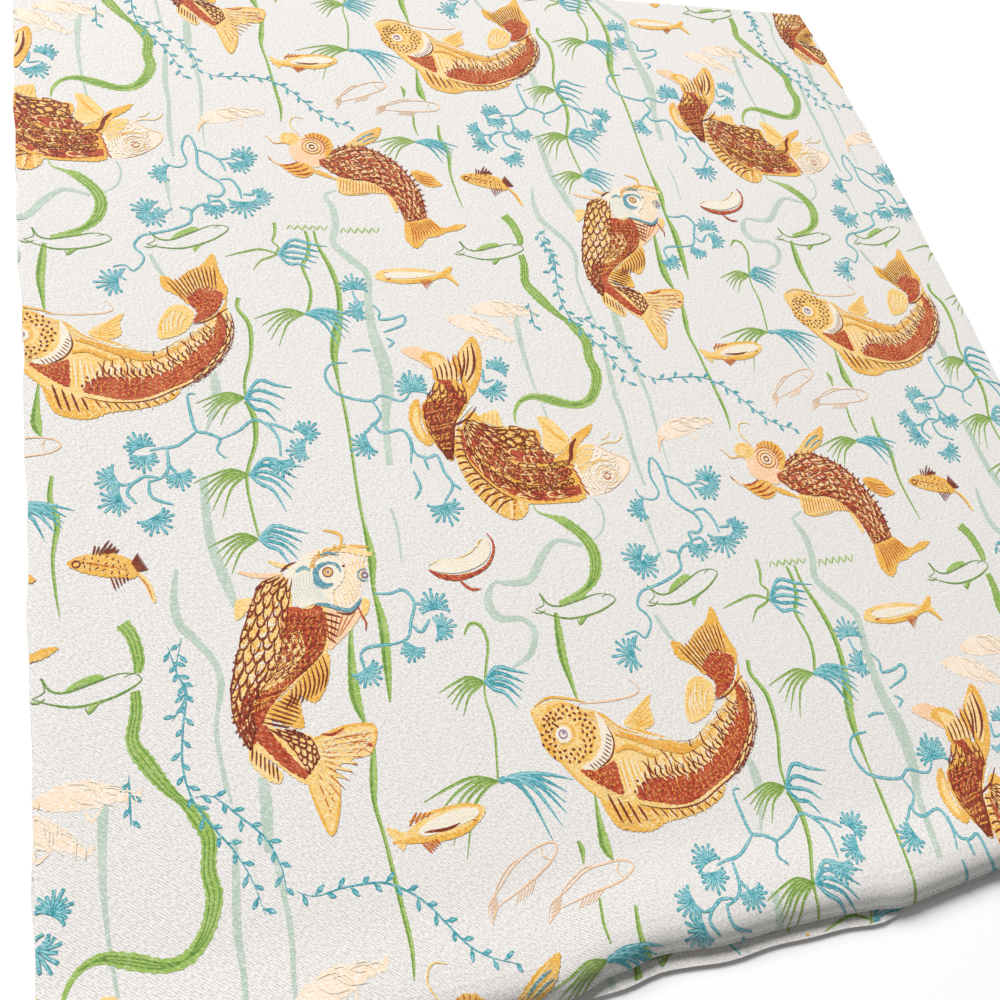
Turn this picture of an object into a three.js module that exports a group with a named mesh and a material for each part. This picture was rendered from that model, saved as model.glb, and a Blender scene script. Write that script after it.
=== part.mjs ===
// A length of woven carp-pattern furnishing fabric, folded in three and lying flat.
// Millimetres. +X runs across the cloth, +Y away from the soft near fold, +Z up.
// Origin: centre of the underside, on the surface the cloth lies on.
import * as THREE from "three";

// ---- driving dimensions ----
const WIDTH = 578; // across the cloth, cut edge to cut edge
const DEPTH = 638; // near cut end to far cut end of the folded stack
const CLOTH = 1.4; // thickness of the woven cloth
const REPEAT_X = 457; // pattern repeat across: a third of a 1370 mm loom width
const REPEAT_Y = 473; // pattern repeat along the length
const GAP = 0.3; // clearance where two sections of the cloth meet
const LAYER_GAP = 0.4; // air between two layers where they come closest
const LOFT = 2; // air under the flat of the middle layer
const ROLL_RISE = 8.4; // outer height of the soft roll at the near edge
const BEND_RISE = 6.6; // outer height of the bend at the far edge

const NEAR_FOLD = { y: 17 - DEPTH / 2, reach: 12, bottom: CLOTH + LAYER_GAP }; // big soft roll
NEAR_FOLD.top = NEAR_FOLD.bottom + ROLL_RISE;
const FAR_FOLD = { y: DEPTH / 2 - 11, reach: 7, bottom: 0, top: BEND_RISE }; // smaller bend underneath
const MIDDLE_Z = CLOTH + LOFT; // underside of the middle layer away from its folds
const TOP_Z = FAR_FOLD.top + LAYER_GAP; // underside of the top layer away from its fold
const NEAR_EASE = 34; // length over which the top layer rises into the near fold
const EASE = 60; // length over which the middle layer bends up or down

const FIGURE = 0.4; // how thick a carp's brocade wefts stand on the ground cloth
const FIGURE_GAP = 0.05;

// ---- finishes ----
const ground = (r, g, b) => new THREE.MeshStandardMaterial({ color: new THREE.Color(r, g, b), roughness: 0.9 });
const clothFinish = ground(0.82, 0.79, 0.74);
const foldFinish = ground(0.76, 0.73, 0.68);
const rustFinish = ground(0.45, 0.09, 0.03);
const goldFinish = ground(0.75, 0.38, 0.08);

const cloth = new THREE.Group();
cloth.name = "folded_carp_cloth";

function add(name, geometry, finish) {
  const mesh = new THREE.Mesh(geometry, finish);
  mesh.name = name;
  cloth.add(mesh);
}

const smooth = (t) => t * t * (3 - 2 * t);
// Eases from a to b while y goes from y0 to y1.
const ease = (y, y0, y1, a, b) => a + (b - a) * smooth(Math.min(1, Math.max(0, (y - y0) / (y1 - y0))));

// A closed outline in the Y-Z plane, swept across the whole width of the cloth.
function sweep(outline) {
  const shape = new THREE.Shape(outline.map(([y, z]) => new THREE.Vector2(y, z)));
  const solid = new THREE.ExtrudeGeometry(shape, { depth: WIDTH, bevelEnabled: false });
  const turn = new THREE.Matrix4().makeBasis(
    new THREE.Vector3(0, 1, 0), new THREE.Vector3(0, 0, 1), new THREE.Vector3(1, 0, 0));
  return solid.applyMatrix4(turn).translate(-WIDTH / 2, 0, 0);
}

// A layer of cloth from y0 to y1 whose underside height is under(y).
function layer(y0, y1, steps, under) {
  const low = [], high = [];
  for (let i = 0; i <= steps; i++) {
    const y = y0 + ((y1 - y0) * i) / steps;
    low.push([y, under(y)]);
    high.unshift([y, under(y) + CLOTH]);
  }
  return sweep([...low, ...high]);
}

// Half of a fold: a quarter of an elliptical ring between two angles in degrees (0 is +Y, 90 is up).
function halfFold(fold, from, to) {
  const midZ = (fold.bottom + fold.top) / 2, rise = (fold.top - fold.bottom) / 2;
  const ring = (a, b, degrees) => {
    const t = (degrees * Math.PI) / 180;
    return [fold.y + a * Math.cos(t), midZ + b * Math.sin(t)];
  };
  const outline = [], steps = 14;
  for (let i = 0; i <= steps; i++) outline.push(ring(fold.reach, rise, from + ((to - from) * i) / steps));
  for (let i = steps; i >= 0; i--)
    outline.push(ring(fold.reach - CLOTH, rise - CLOTH, from + ((to - from) * i) / steps));
  return sweep(outline);
}

// ---- the cloth, from the cut end underneath to the cut end on top ----
function bottomLayer() {
  add("bottom_layer", layer(-DEPTH / 2, FAR_FOLD.y - GAP, 1, () => 0), clothFinish);
  add("far_fold_lower", halfFold(FAR_FOLD, 270, 357), foldFinish);
}

function middleLayer() {
  const near = NEAR_FOLD.y + GAP, far = FAR_FOLD.y - GAP;
  const under = (y) => y < 0
    ? ease(y, near, near + EASE, NEAR_FOLD.bottom, MIDDLE_Z)
    : ease(y, far - EASE, far, MIDDLE_Z, FAR_FOLD.top - CLOTH);
  add("far_fold_upper", halfFold(FAR_FOLD, 3, 90), foldFinish);
  add("middle_layer", layer(near, far, 61, under), clothFinish);
  add("near_fold_lower", halfFold(NEAR_FOLD, 182, 270), foldFinish);
}

function topLayer() {
  const near = NEAR_FOLD.y + GAP;
  const under = (y) => ease(y, near, near + NEAR_EASE, NEAR_FOLD.top - CLOTH, TOP_Z);
  add("near_fold_upper", halfFold(NEAR_FOLD, 90, 178), foldFinish);
  add("top_layer", layer(near, DEPTH / 2, 124, under), clothFinish);
}

// ---- the four carp of the repeat, as outlines on the top face ----
const CARP = {
  leaping: { finish: rustFinish, outline: [
    [-75, -199], [-66, -196], [-52, -199], [-42, -204], [-32, -212], [-14, -203], [-15, -215], [-8, -221],
    [2, -220], [5, -206], [12, -199], [19, -199], [14, -190], [6, -184], [7, -178], [16, -178], [25, -171],
    [34, -163], [37, -176], [40, -186], [39, -196], [41, -208], [39, -222], [32, -236], [20, -246],
    [9, -254], [-5, -259], [-20, -261], [-36, -264], [-44, -261], [-49, -252], [-56, -240], [-64, -228],
    [-70, -214]] },
  diving: { finish: rustFinish, outline: [
    [-163, -110], [-150, -105], [-138, -110], [-134, -115], [-143, -133], [-142, -141], [-152, -152],
    [-162, -160], [-164, -172], [-170, -181], [-176, -184], [-174, -196], [-160, -195], [-147, -195],
    [-146, -202], [-153, -208], [-165, -212], [-165, -224], [-170, -237], [-178, -222], [-181, -214],
    [-190, -212], [-197, -203], [-205, -186], [-206, -172], [-204, -158], [-201, -146], [-203, -136],
    [-195, -130], [-187, -121], [-176, -116]] },
  rising: { finish: goldFinish, outline: [
    [12, -76], [2, -90], [-10, -93], [-20, -96], [-45, -94], [-53, -93], [-56, -101], [-63, -103],
    [-70, -99], [-76, -87], [-81, -75], [-83, -66], [-88, -64], [-94, -56], [-101, -53], [-103, -40],
    [-102, -29], [-95, -28], [-88, -20], [-86, -8], [-92, -1], [-99, 3], [-90, 7], [-80, 2], [-74, -2],
    [-70, 4], [-62, 12], [-57, 10], [-57, -3], [-62, -18], [-66, -28], [-66, -35], [-57, -38],
    [-53, -47], [-36, -50], [-33, -56], [-29, -47], [-18, -56], [-4, -50], [-8, -58], [2, -65]] },
  browsing: { finish: goldFinish, outline: [
    [81, -75], [88, -69], [96, -71], [103, -68], [109, -75], [116, -80], [135, -64], [143, -63],
    [133, -79], [142, -84], [152, -93], [156, -101], [162, -98], [169, -103], [173, -109], [164, -111],
    [159, -108], [160, -137], [166, -143], [180, -142], [176, -146], [165, -150], [149, -160],
    [144, -155], [145, -140], [144, -130], [139, -120], [130, -117], [113, -118], [109, -109],
    [100, -104], [92, -103], [83, -102], [75, -91], [80, -94], [87, -90]] },
};

// Keeps the part of an outline on the near side of a line: axis 0 is X, axis 1 is Y; side +1 keeps less.
function trim(points, axis, limit, side) {
  const inside = (p) => side * (limit - p[axis]) >= 0, kept = [];
  points.forEach((p, i) => {
    const q = points[(i + 1) % points.length];
    if (inside(p)) kept.push(p);
    if (inside(p) !== inside(q)) {
      const t = (limit - p[axis]) / (q[axis] - p[axis]);
      kept.push([p[0] + t * (q[0] - p[0]), p[1] + t * (q[1] - p[1])]);
    }
  });
  return kept;
}

// One carp of the half-drop repeat, moved by half repeats: acrossHalves in X, alongHalves in Y.
// edge is how far short of the cut edges its wefts stop.
function carp(kind, name, acrossHalves, alongHalves, edge = 0.5) {
  let outline = CARP[kind].outline.map(([x, y]) => [
    x + (acrossHalves * REPEAT_X) / 2, y + (alongHalves * REPEAT_Y) / 2]);
  outline = trim(outline, 0, WIDTH / 2 - edge, 1);
  outline = trim(outline, 0, edge - WIDTH / 2, -1);
  outline = trim(outline, 1, DEPTH / 2 - edge, 1);
  outline = trim(outline, 1, NEAR_FOLD.y + GAP + NEAR_EASE + edge, -1);
  const shape = new THREE.Shape(outline.map(([x, y]) => new THREE.Vector2(x, y)));
  const solid = new THREE.ExtrudeGeometry(shape, { depth: FIGURE, bevelEnabled: false });
  add(name, solid.translate(0, 0, TOP_Z + CLOTH + FIGURE_GAP), CARP[kind].finish);
}

function figures() {
  carp("leaping", "leaping_carp_near", 0, 0);
  carp("leaping", "leaping_carp_far", 0, 2);
  carp("leaping", "leaping_carp_left", -1, 1);
  carp("leaping", "leaping_carp_right", 1, 1);
  carp("diving", "diving_carp_left", 0, 0);
  carp("diving", "diving_carp_middle", 1, 1);
  carp("diving", "diving_carp_far_left", 0, 2);
  carp("diving", "diving_carp_far_right", 2, 2);
  carp("diving", "diving_carp_near_right", 2, 0);
  carp("rising", "rising_carp_middle", 0, 0);
  carp("rising", "rising_carp_far_right", 1, 1);
  carp("rising", "rising_carp_far_left", -1, 1, 3.7);
  carp("browsing", "browsing_carp_right", 0, 0);
  carp("browsing", "browsing_carp_left", -1, 1);
}

bottomLayer();
middleLayer();
topLayer();
figures();

export default cloth;
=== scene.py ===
# %% [markdown]
# # A length of carp-pattern furnishing fabric, folded in three
# The cloth is an off-white twill with a river scene woven on it in coloured wefts. It lies in three
# layers: face up, face down, face up, joined by a soft roll at the near edge and a smaller bend at the
# far edge. This lesson draws one repeat of the pattern flat, in millimetres, then lays it along the
# folded cloth, so that the figures run over the roll as woven ones do.

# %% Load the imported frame
import bmesh
import bpy
import math
import numpy as np
from mathutils import Matrix, Vector
from mathutils.geometry import tessellate_polygon


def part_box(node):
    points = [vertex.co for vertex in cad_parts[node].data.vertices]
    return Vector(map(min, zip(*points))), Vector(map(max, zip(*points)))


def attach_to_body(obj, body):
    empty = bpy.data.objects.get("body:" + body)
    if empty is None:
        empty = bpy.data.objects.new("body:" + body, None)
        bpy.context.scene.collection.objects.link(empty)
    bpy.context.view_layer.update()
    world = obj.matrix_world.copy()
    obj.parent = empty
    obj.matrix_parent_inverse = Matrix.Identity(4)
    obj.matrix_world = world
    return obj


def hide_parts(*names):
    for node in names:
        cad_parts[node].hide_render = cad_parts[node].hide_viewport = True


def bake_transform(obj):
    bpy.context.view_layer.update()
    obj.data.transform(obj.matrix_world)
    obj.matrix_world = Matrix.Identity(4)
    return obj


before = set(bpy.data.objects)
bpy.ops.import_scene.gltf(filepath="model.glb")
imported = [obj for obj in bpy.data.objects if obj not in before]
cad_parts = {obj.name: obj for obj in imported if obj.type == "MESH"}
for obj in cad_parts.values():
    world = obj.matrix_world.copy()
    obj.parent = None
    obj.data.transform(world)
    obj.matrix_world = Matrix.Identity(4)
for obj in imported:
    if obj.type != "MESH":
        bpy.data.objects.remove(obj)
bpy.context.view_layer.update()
MM = 0.001

# %% [markdown]
# ## Camera
# It stands over the near left part of the cloth and looks across it to the far right, turned a little
# on its own axis. Its place and three directions set its matrix directly, which keeps that turn.

# %% Camera
CAMERA_PLACE = Vector((-0.2068, -0.2872, 0.4198))
CAMERA_LOOK = Vector((0.2976, 0.4112, -0.8616)).normalized()
CAMERA_UP = Vector((0.0859, 0.8873, 0.4532)).normalized()


def make_camera():
    data = bpy.data.cameras.new("camera")
    data.lens = 33.23
    data.sensor_width = 36
    data.clip_start = 0.01
    right = CAMERA_LOOK.cross(CAMERA_UP).normalized()
    turn = Matrix((right, right.cross(CAMERA_LOOK), -CAMERA_LOOK)).transposed().to_4x4()
    camera = bpy.data.objects.new("camera", data)
    camera.matrix_world = Matrix.Translation(CAMERA_PLACE) @ turn
    bpy.context.collection.objects.link(camera)
    bpy.context.scene.camera = camera
    print("camera at", [round(c, 3) for c in camera.location], "lens", data.lens)


make_camera()

# %% [markdown]
# ## The path of the cloth
# Seen from the side, the cloth is one line: along the top, round the near roll, back through the
# middle, round the far bend and along the table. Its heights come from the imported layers. A place on
# the cloth is x across it and v along it, and v is equal to y on the top layer. Past the roll v runs on
# below the near edge's y, so the pattern never breaks.

# %% Path of the cloth's middle line, in millimetres
def box_mm(node):
    low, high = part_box(node)
    return [c / MM for c in low], [c / MM for c in high]


BOTTOM_LOW, BOTTOM_HIGH = box_mm("bottom_layer")
TOP_LOW, TOP_HIGH = box_mm("top_layer")
ROLL_LOW, ROLL_HIGH = box_mm("near_fold_lower")[0], box_mm("near_fold_upper")[1]
BEND_LOW, BEND_HIGH = box_mm("far_fold_lower")[0], box_mm("far_fold_upper")[1]
THICK = BOTTOM_HIGH[2] - BOTTOM_LOW[2]
WIDTH = TOP_HIGH[0] - TOP_LOW[0]
LOFT = 1.6  # how far the middle layer's flat part stands above its end at the roll
MIDDLE_LIFT = box_mm("middle_layer")[0][2] + LOFT
TOP_FLAT = TOP_LOW[2] + THICK / 2
ROLL_EASE, LAYER_EASE = 34, 60  # lengths over which a layer bends up or down to its fold


def smooth(t):
    t = np.clip(t, 0, 1)
    return t * t * (3 - 2 * t)


def arc(centre_y, centre_z, reach, rise, start, stop, steps):
    angles = np.radians(np.linspace(start, stop, steps))
    return np.stack([centre_y + reach * np.cos(angles), centre_z + rise * np.sin(angles)], 1)


def flat_run(start, stop, height, steps):
    y = np.linspace(start, stop, steps)
    return np.stack([y, height(y)], 1)


ROLL_Y = ROLL_HIGH[1]
BEND_Y = BEND_LOW[1]
ROLL_MID = (ROLL_LOW[2] + ROLL_HIGH[2]) / 2
BEND_MID = (BEND_LOW[2] + BEND_HIGH[2]) / 2
ROLL_RISE = (ROLL_HIGH[2] - ROLL_LOW[2] - THICK) / 2
BEND_RISE = (BEND_HIGH[2] - BEND_LOW[2] - THICK) / 2


def top_height(y):
    lift = ROLL_MID + ROLL_RISE - TOP_FLAT
    return TOP_FLAT + lift * (1 - smooth((y - ROLL_Y) / ROLL_EASE))


def middle_height(y):
    near = ROLL_MID - ROLL_RISE
    far = BEND_MID + BEND_RISE
    flat = MIDDLE_LIFT + THICK / 2
    rise = smooth((y - ROLL_Y) / LAYER_EASE)
    climb = smooth((y - BEND_Y + LAYER_EASE) / LAYER_EASE)
    return near + (flat - near) * rise + (far - flat) * climb


ROUNDING = (-1.5, -0.75, 0, 0.75, 1.5)  # the roll's corners are rounded by a mean over these places


def slumped_roll(steps):
    """The soft roll: nearly flat on top, then a steep side that leans out over the cloth below it."""
    low, high = ROLL_MID - ROLL_RISE, ROLL_MID + ROLL_RISE
    knots = np.array([
        (3, high), (0, high), (-5, high - 0.3), (-9, high - 1.5), (-12, high - 3.6), (-14.2, low + 2.2),
        (-14.6, low + 0.8), (-12.5, low + 0.05), (-6, low), (0, low), (3, low)])
    far = np.concatenate([[0], np.cumsum(np.hypot(*np.diff(knots, axis=0).T))])
    shares = np.linspace(far[1], far[-2], steps)
    nearby = [np.stack([np.interp(shares + d, far, knots[:, k]) for k in (0, 1)], 1) for d in ROUNDING]
    return sum(nearby) / len(ROUNDING) + (ROLL_Y, 0)


RUNS = {
    "top": flat_run(TOP_HIGH[1], ROLL_Y, top_height, 240),
    "roll": slumped_roll(90),
    "middle": flat_run(ROLL_Y, BEND_Y, middle_height, 240),
    "bend": arc(BEND_Y, BEND_MID, BEND_HIGH[1] - BEND_Y - THICK / 2, BEND_RISE, 90, -90, 40),
    "bottom": flat_run(BEND_Y, BOTTOM_LOW[1], lambda y: y * 0 + THICK / 2, 240),
}
PATH = np.concatenate([run if name == "top" else run[1:] for name, run in RUNS.items()])
STEP = np.hypot(*np.diff(PATH, axis=0).T)
ALONG = TOP_HIGH[1] - np.concatenate([[0], np.cumsum(STEP)])
SLOPE = np.gradient(PATH, -ALONG, axis=0)
SLOPE /= np.linalg.norm(SLOPE, axis=1)[:, None]
ends = np.cumsum([len(run) - (name != "top") for name, run in RUNS.items()]) - 1
LIMITS = dict(zip(RUNS, zip(ALONG[np.concatenate([[0], ends[:-1]])], ALONG[ends])))
LIMITS["top"] = (TOP_HIGH[1], ALONG[ends[0]])
print("along the cloth", {name: [round(float(v), 1) for v in pair] for name, pair in LIMITS.items()})

# %% [markdown]
# ## The cloth's own softness
# Cut edges aren't quite straight, the roll wanders in and out by a few millimetres, and the layers lie
# in long low swells. These are plain formulas of x and v, shared by the ground cloth and the figures,
# so the figures always lie on the cloth.

# %% Edges, roll and swell
PEEP = 0.2  # how far the bottom layer's cut end stands in from the roll's mean line
TUCK = 4.5  # how much further in the roll stands along its middle
# Pairs of x and how far the roll stands in there from its mean line.
ROLL_WANDER = [
    (-290, 0), (-200, -1.5), (-89, -3), (-54, -2.5), (-43, 0.4), (-25, -0.8), (-11, -2.6), (20, -1.8),
    (51, -2.3), (71, -4.2), (85, -1.4), (112, 1.3), (141, 3.9), (175, 6), (230, 4), (290, 1)]


def roll_shift(x):
    """How far the near roll stands in from its mean line."""
    knots = np.array(ROLL_WANDER, float)
    spread = sum(np.interp(x + d, knots[:, 0], knots[:, 1]) for d in (-6, -3, 0, 3, 6))
    return spread / 5


def tuck(x):
    """The roll's extra step inwards, where the layer below shows in front of it."""
    return TUCK * smooth((x + 85) / 25) * smooth((88 - x) / 20)


def depth_of(v):
    """The y of a place along the cloth, on whichever layer it is."""
    return np.interp(v, ALONG[::-1], PATH[::-1, 0])


def left_edge(v):
    y = depth_of(v)
    spread = 0.0174 * y + 2.2 * smooth((y + 20) / 160)
    return -288.2 - spread + 0.5 * np.sin(v / 17) + 0.3 * np.sin(v / 6.1)


def right_edge(v):
    inset = 11 * np.clip((depth_of(v) - 60) / 259, 0, 1) ** 2
    return 291.5 - inset + 0.5 * np.sin(v / 21 + 1) + 0.3 * np.sin(v / 7.3)


def swell(x, v):
    """Long low waves of a layer that lies loosely, never below its flat."""
    wave = np.sin(x / 71 + 0.4) * np.sin(v / 93 + 1.1) + 0.6 * np.sin(x / 133 + v / 117)
    return 0.35 * (wave + 1.6)


FADE = 80  # the roll's wander dies away over this length of the cloth


def on_cloth(x, v, lift):
    """Places x across and v along the cloth, lift above its middle line on the face side."""
    x, v, lift = np.broadcast_arrays(np.asarray(x, float), np.asarray(v, float), np.asarray(lift, float))
    back = ALONG[::-1]
    y, z, dy, dz = [np.interp(v, back, column[::-1]) for column in (*PATH.T, *SLOPE.T)]
    size = np.hypot(dy, dz)
    y, z = y + lift * dz / size, z - lift * dy / size
    roll_start, roll_end = LIMITS["roll"]
    near_roll = smooth((roll_start + FADE - v) / FADE) * smooth((v - roll_end + FADE) / FADE)
    near_end = smooth((ALONG[-1] + FADE - v) / FADE)
    on_top = smooth(2 * (v - roll_start) / FADE)
    inward = roll_shift(x) * np.maximum(near_roll, near_end) + tuck(x) * near_roll + PEEP * near_end
    return np.stack([x, y + inward, z + swell(x, v) * on_top], -1) * MM

# %% [markdown]
# ## Ground cloth
# Each layer is a closed sheet as thick as the cloth: a fine grid for the face, the same grid for the
# reverse, and a cut edge between them. The roll and the bend have short steps so that they turn
# smoothly. Each point keeps its place on the flat cloth as a UV, which the weave follows round the folds.

# %% Sheets
def link(name, mesh):
    piece = bpy.data.objects.new(name, mesh)
    bpy.context.collection.objects.link(piece)
    return piece


def give_uv(mesh, flat):
    """Stores each point's place on the flat cloth, in metres, for the weave."""
    layer = mesh.uv_layers.new(name="weave")
    corner = np.empty(len(mesh.loops), int)
    mesh.loops.foreach_get("vertex_index", corner)
    layer.data.foreach_set("uv", (np.asarray(flat)[corner] * MM).astype(np.float32).ravel())


WORN_WIDTH, WORN_THIN = 6, 0.25  # a strip along each cut side is a little thinner on both faces


def make_sheet(name, run, across=150, step=4.0):
    start, stop = LIMITS[run]
    rows = max(8, int(abs(start - stop) / step))
    v = np.linspace(start, stop, rows + 1)[:, None] * np.ones(across + 1)
    t = np.linspace(0, 1, across + 1)[None, :] * np.ones((rows + 1, 1))
    low, high = left_edge(v), right_edge(v)
    x = low + (high - low) * t
    ragged = 0.6 * np.sin(x / 23) + 0.4 * np.sin(x / 7.7)
    if run == "top":
        v[0] += ragged[0]
    if run == "bottom":
        v[-1] += ragged[-1]
    edge = np.minimum(1, np.minimum(x - low, high - x) / WORN_WIDTH)
    half = THICK / 2 - WORN_THIN * (1 - edge)
    face, reverse = on_cloth(x, v, half), on_cloth(x, v, -half)
    n = (rows + 1) * (across + 1)
    index = np.arange(n).reshape(rows + 1, across + 1)
    a, b, c, d = index[:-1, :-1], index[:-1, 1:], index[1:, 1:], index[1:, :-1]
    quads = [np.stack([a, d, c, b], -1).reshape(-1, 4), np.stack([a, b, c, d], -1).reshape(-1, 4) + n]
    for line in (index[0], index[:, -1], index[-1][::-1], index[:, 0][::-1]):
        quads.append(np.stack([line[:-1], line[1:], line[1:] + n, line[:-1] + n], -1))
    mesh = bpy.data.meshes.new(name)
    mesh.from_pydata(np.concatenate([face.reshape(-1, 3), reverse.reshape(-1, 3)]).tolist(), [],
                     np.concatenate(quads).tolist())
    flat = np.stack([x, v], -1).reshape(-1, 2)
    give_uv(mesh, np.concatenate([flat, flat]))
    side = np.zeros(len(mesh.vertices), np.float32)
    side[n:] = 1
    mesh.attributes.new("reverse", "FLOAT", "POINT").data.foreach_set("value", side)
    mesh.polygons.foreach_set("use_smooth", [True] * len(mesh.polygons))
    mesh.update()
    mesh.set_sharp_from_angle(angle=math.radians(60))
    print(name, len(mesh.polygons), "faces, flat", round(WIDTH), "by", round(abs(start - stop)), "mm")
    return link(name, mesh)


SHEETS = {
    "top": make_sheet("top_cloth", "top"),
    "roll": make_sheet("near_roll_cloth", "roll", step=0.5),
    "middle": make_sheet("middle_cloth", "middle", across=100, step=6),
    "bend": make_sheet("far_bend_cloth", "bend", step=0.5),
    "bottom": make_sheet("bottom_cloth", "bottom", across=100, step=6),
}

# %% [markdown]
# ## Shader maths
# A material is a small sum over the surface. The class below wraps a socket, so that + - and * on it add
# the Math nodes. The other class holds one material, and its method node adds a node of any type.

# %% Shader expressions
class Signal:
    """A node's output that can be used like a number."""

    def __init__(self, finish, socket):
        self.finish, self.socket = finish, socket

    def maths(self, operation, first, second):
        return self.finish.node("ShaderNodeMath", {"operation": operation}, {0: first, 1: second})

    def __add__(self, other):
        return self.maths("ADD", self, other)

    def __sub__(self, other):
        return self.maths("SUBTRACT", self, other)

    def __rsub__(self, other):
        return self.maths("SUBTRACT", other, self)

    def __mul__(self, other):
        return self.maths("MULTIPLY", self, other)

    __radd__ = __add__
    __rmul__ = __mul__


class Finish:
    """One material: its nodes, its shader, and the cloth's own coordinates."""

    def __init__(self, name, roughness, sheen=0.0):
        self.material = bpy.data.materials.new(name)
        self.material.use_nodes = True
        self.tree = self.material.node_tree
        self.shader = self.tree.nodes["Principled BSDF"]
        self.shader.inputs["Roughness"].default_value = roughness
        self.shader.inputs["Specular IOR Level"].default_value = 0.25
        self.shader.inputs["Sheen Weight"].default_value = sheen
        self.shader.inputs["Sheen Roughness"].default_value = 0.5

    def node(self, kind, settings, values, output=0):
        made = self.tree.nodes.new(kind)
        for key, value in settings.items():
            setattr(made, key, value)
        for key, value in values.items():
            self.feed(made.inputs[key], value)
        return Signal(self, made.outputs[output])

    def feed(self, socket, value):
        if isinstance(value, Signal):
            self.tree.links.new(value.socket, socket)
        else:
            socket.default_value = value

    def cloth_place(self, turn=0.0, stretch=(1, 1)):
        """The place on the flat cloth in millimetres, turned by some degrees, then stretched."""
        uv = self.node("ShaderNodeUVMap", {"uv_map": "weave"}, {})
        rotate = (0, 0, math.radians(turn))
        scale = (1000 * stretch[0], 1000 * stretch[1], 1)
        turned = self.node("ShaderNodeMapping", {"vector_type": "POINT"},
                           {"Vector": uv, "Rotation": rotate})
        return self.node("ShaderNodeMapping", {"vector_type": "POINT"}, {"Vector": turned, "Scale": scale})

    def noise(self, place, scale, detail):
        return self.node("ShaderNodeTexNoise", {}, {"Vector": place, "Scale": scale, "Detail": detail})

    def mix(self, amount, first, second):
        """Mixes two colours, which are the Mix node's sockets 6 and 7. Its result is output 2."""
        return self.node("ShaderNodeMix", {"data_type": "RGBA"}, {0: amount, 6: first, 7: second}, output=2)

    def ramp(self, value, start, stop, most):
        """Goes smoothly from 0 to most as the value goes from start to stop."""
        values = {"Value": value, "From Min": start, "From Max": stop, "To Min": 0.0, "To Max": most}
        return self.node("ShaderNodeMapRange", {"interpolation_type": "SMOOTHSTEP"}, values)

    def colour(self, value):
        self.feed(self.shader.inputs["Base Color"], value)

    def raise_by(self, height, distance, strength):
        bump = self.node("ShaderNodeBump", {},
                         {"Height": height, "Distance": distance, "Strength": strength})
        self.feed(self.shader.inputs["Normal"], bump)


def paint(red, green, blue):
    """A colour given as 0 to 255 on screen, as Blender's linear colour."""
    linear = [((c / 255 + 0.055) / 1.055) ** 2.4 for c in (red, green, blue)]
    return (*linear, 1.0)


print("mid grey on screen is", round(paint(128, 128, 128)[0], 3), "in linear light")

# %% [markdown]
# ## The ground weave
# The ground is a fine twill: short floats of off-white yarn step sideways on each pick, which reads as
# thin slanting lines with a grainy break. Its reverse is duller, with the coloured wefts carried along
# behind in thin bars. Both are made from wave and noise textures in the cloth's own coordinates.

# %% Ground cloth finish
TWILL_SLANT = 38
TWILL_PITCH = 0.95


def ground_finish():
    finish = Finish("off_white_twill", roughness=0.92, sheen=0.1)
    slanted = finish.cloth_place(turn=TWILL_SLANT)
    lines = finish.node("ShaderNodeTexWave", {"wave_type": "BANDS", "bands_direction": "Y"},
                        {"Vector": slanted, "Scale": 0.314 / TWILL_PITCH, "Distortion": 3.0,
                         "Detail": 2.0, "Detail Scale": 1.8}, output=1)
    grain = finish.noise(finish.cloth_place(turn=TWILL_SLANT, stretch=(0.7, 1.6)), 0.9, 2.0)
    slub = finish.noise(finish.cloth_place(stretch=(0.05, 1.0)), 0.5, 1.0)
    cloudy = finish.noise(finish.cloth_place(), 0.02, 2.0)
    weave = lines * 0.2 + grain * 0.8
    shade = finish.mix(finish.ramp(weave, 0.26, 0.66, 1.0), paint(190, 187, 183), paint(240, 237, 234))
    tinted = finish.mix(slub * 0.3, shade, paint(228, 225, 220))
    aged = finish.mix(cloudy * 0.12, tinted, paint(216, 210, 202))
    behind = finish.node("ShaderNodeAttribute", {"attribute_name": "reverse"}, {}, output=2)
    carried = finish.noise(finish.cloth_place(stretch=(0.03, 1.1)), 0.55, 2.0)
    bars = finish.mix(finish.ramp(carried, 0.42, 0.58, 0.8), paint(206, 198, 184), paint(176, 132, 84))
    bars = finish.mix(finish.ramp(carried, 0.58, 0.66, 0.7), bars, paint(96, 140, 140))
    finish.colour(finish.mix(finish.ramp(behind, 0.4, 0.6, 1.0), aged, finish.mix(weave * 0.5, bars, aged)))
    finish.raise_by(weave, 0.0002, 0.8)
    return finish.material


GROUND = ground_finish()
for sheet in SHEETS.values():
    sheet.data.materials.append(GROUND)
print("ground finish has", len(GROUND.node_tree.nodes), "nodes")

# %% [markdown]
# ## Drawing with wefts
# On the loom a figure is made where a coloured weft floats on the face. Here each one is drawn flat, in
# millimetres of the pattern: an outline filled with one colour, or a line with a width. A smooth curve
# through a few points keeps the drawing short. All of one colour is later woven into one piece for each
# stretch of the cloth.

# %% Smooth lines and filled outlines
DRAWN = {}


def curve(points, closed=False, step=1.6):
    """A smooth line through the points. A third number in each point, such as a width, is smoothed too."""
    p = np.asarray(points, float)
    pieces = []
    for i in range(len(p) if closed else len(p) - 1):
        near = [(i + k) % len(p) if closed else min(max(i + k, 0), len(p) - 1) for k in (-1, 0, 1, 2)]
        a, b, c, d = p[near]
        n = max(2, int(np.hypot(*(c - b)[:2]) / step))
        t = (np.arange(n) / n)[:, None]
        pieces.append(b + 0.5 * ((c - a) * t + (2 * a - 5 * b + 4 * c - d) * t ** 2
                                 + (3 * b - a - 3 * c + d) * t ** 3))
    return np.concatenate(pieces if closed else pieces + [p[-1:]])


def tell(what):
    shapes = sum(len(pieces) for pieces in DRAWN.values())
    print(what, "drawn, now", shapes, "shapes in", len(DRAWN), "wefts")


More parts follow.
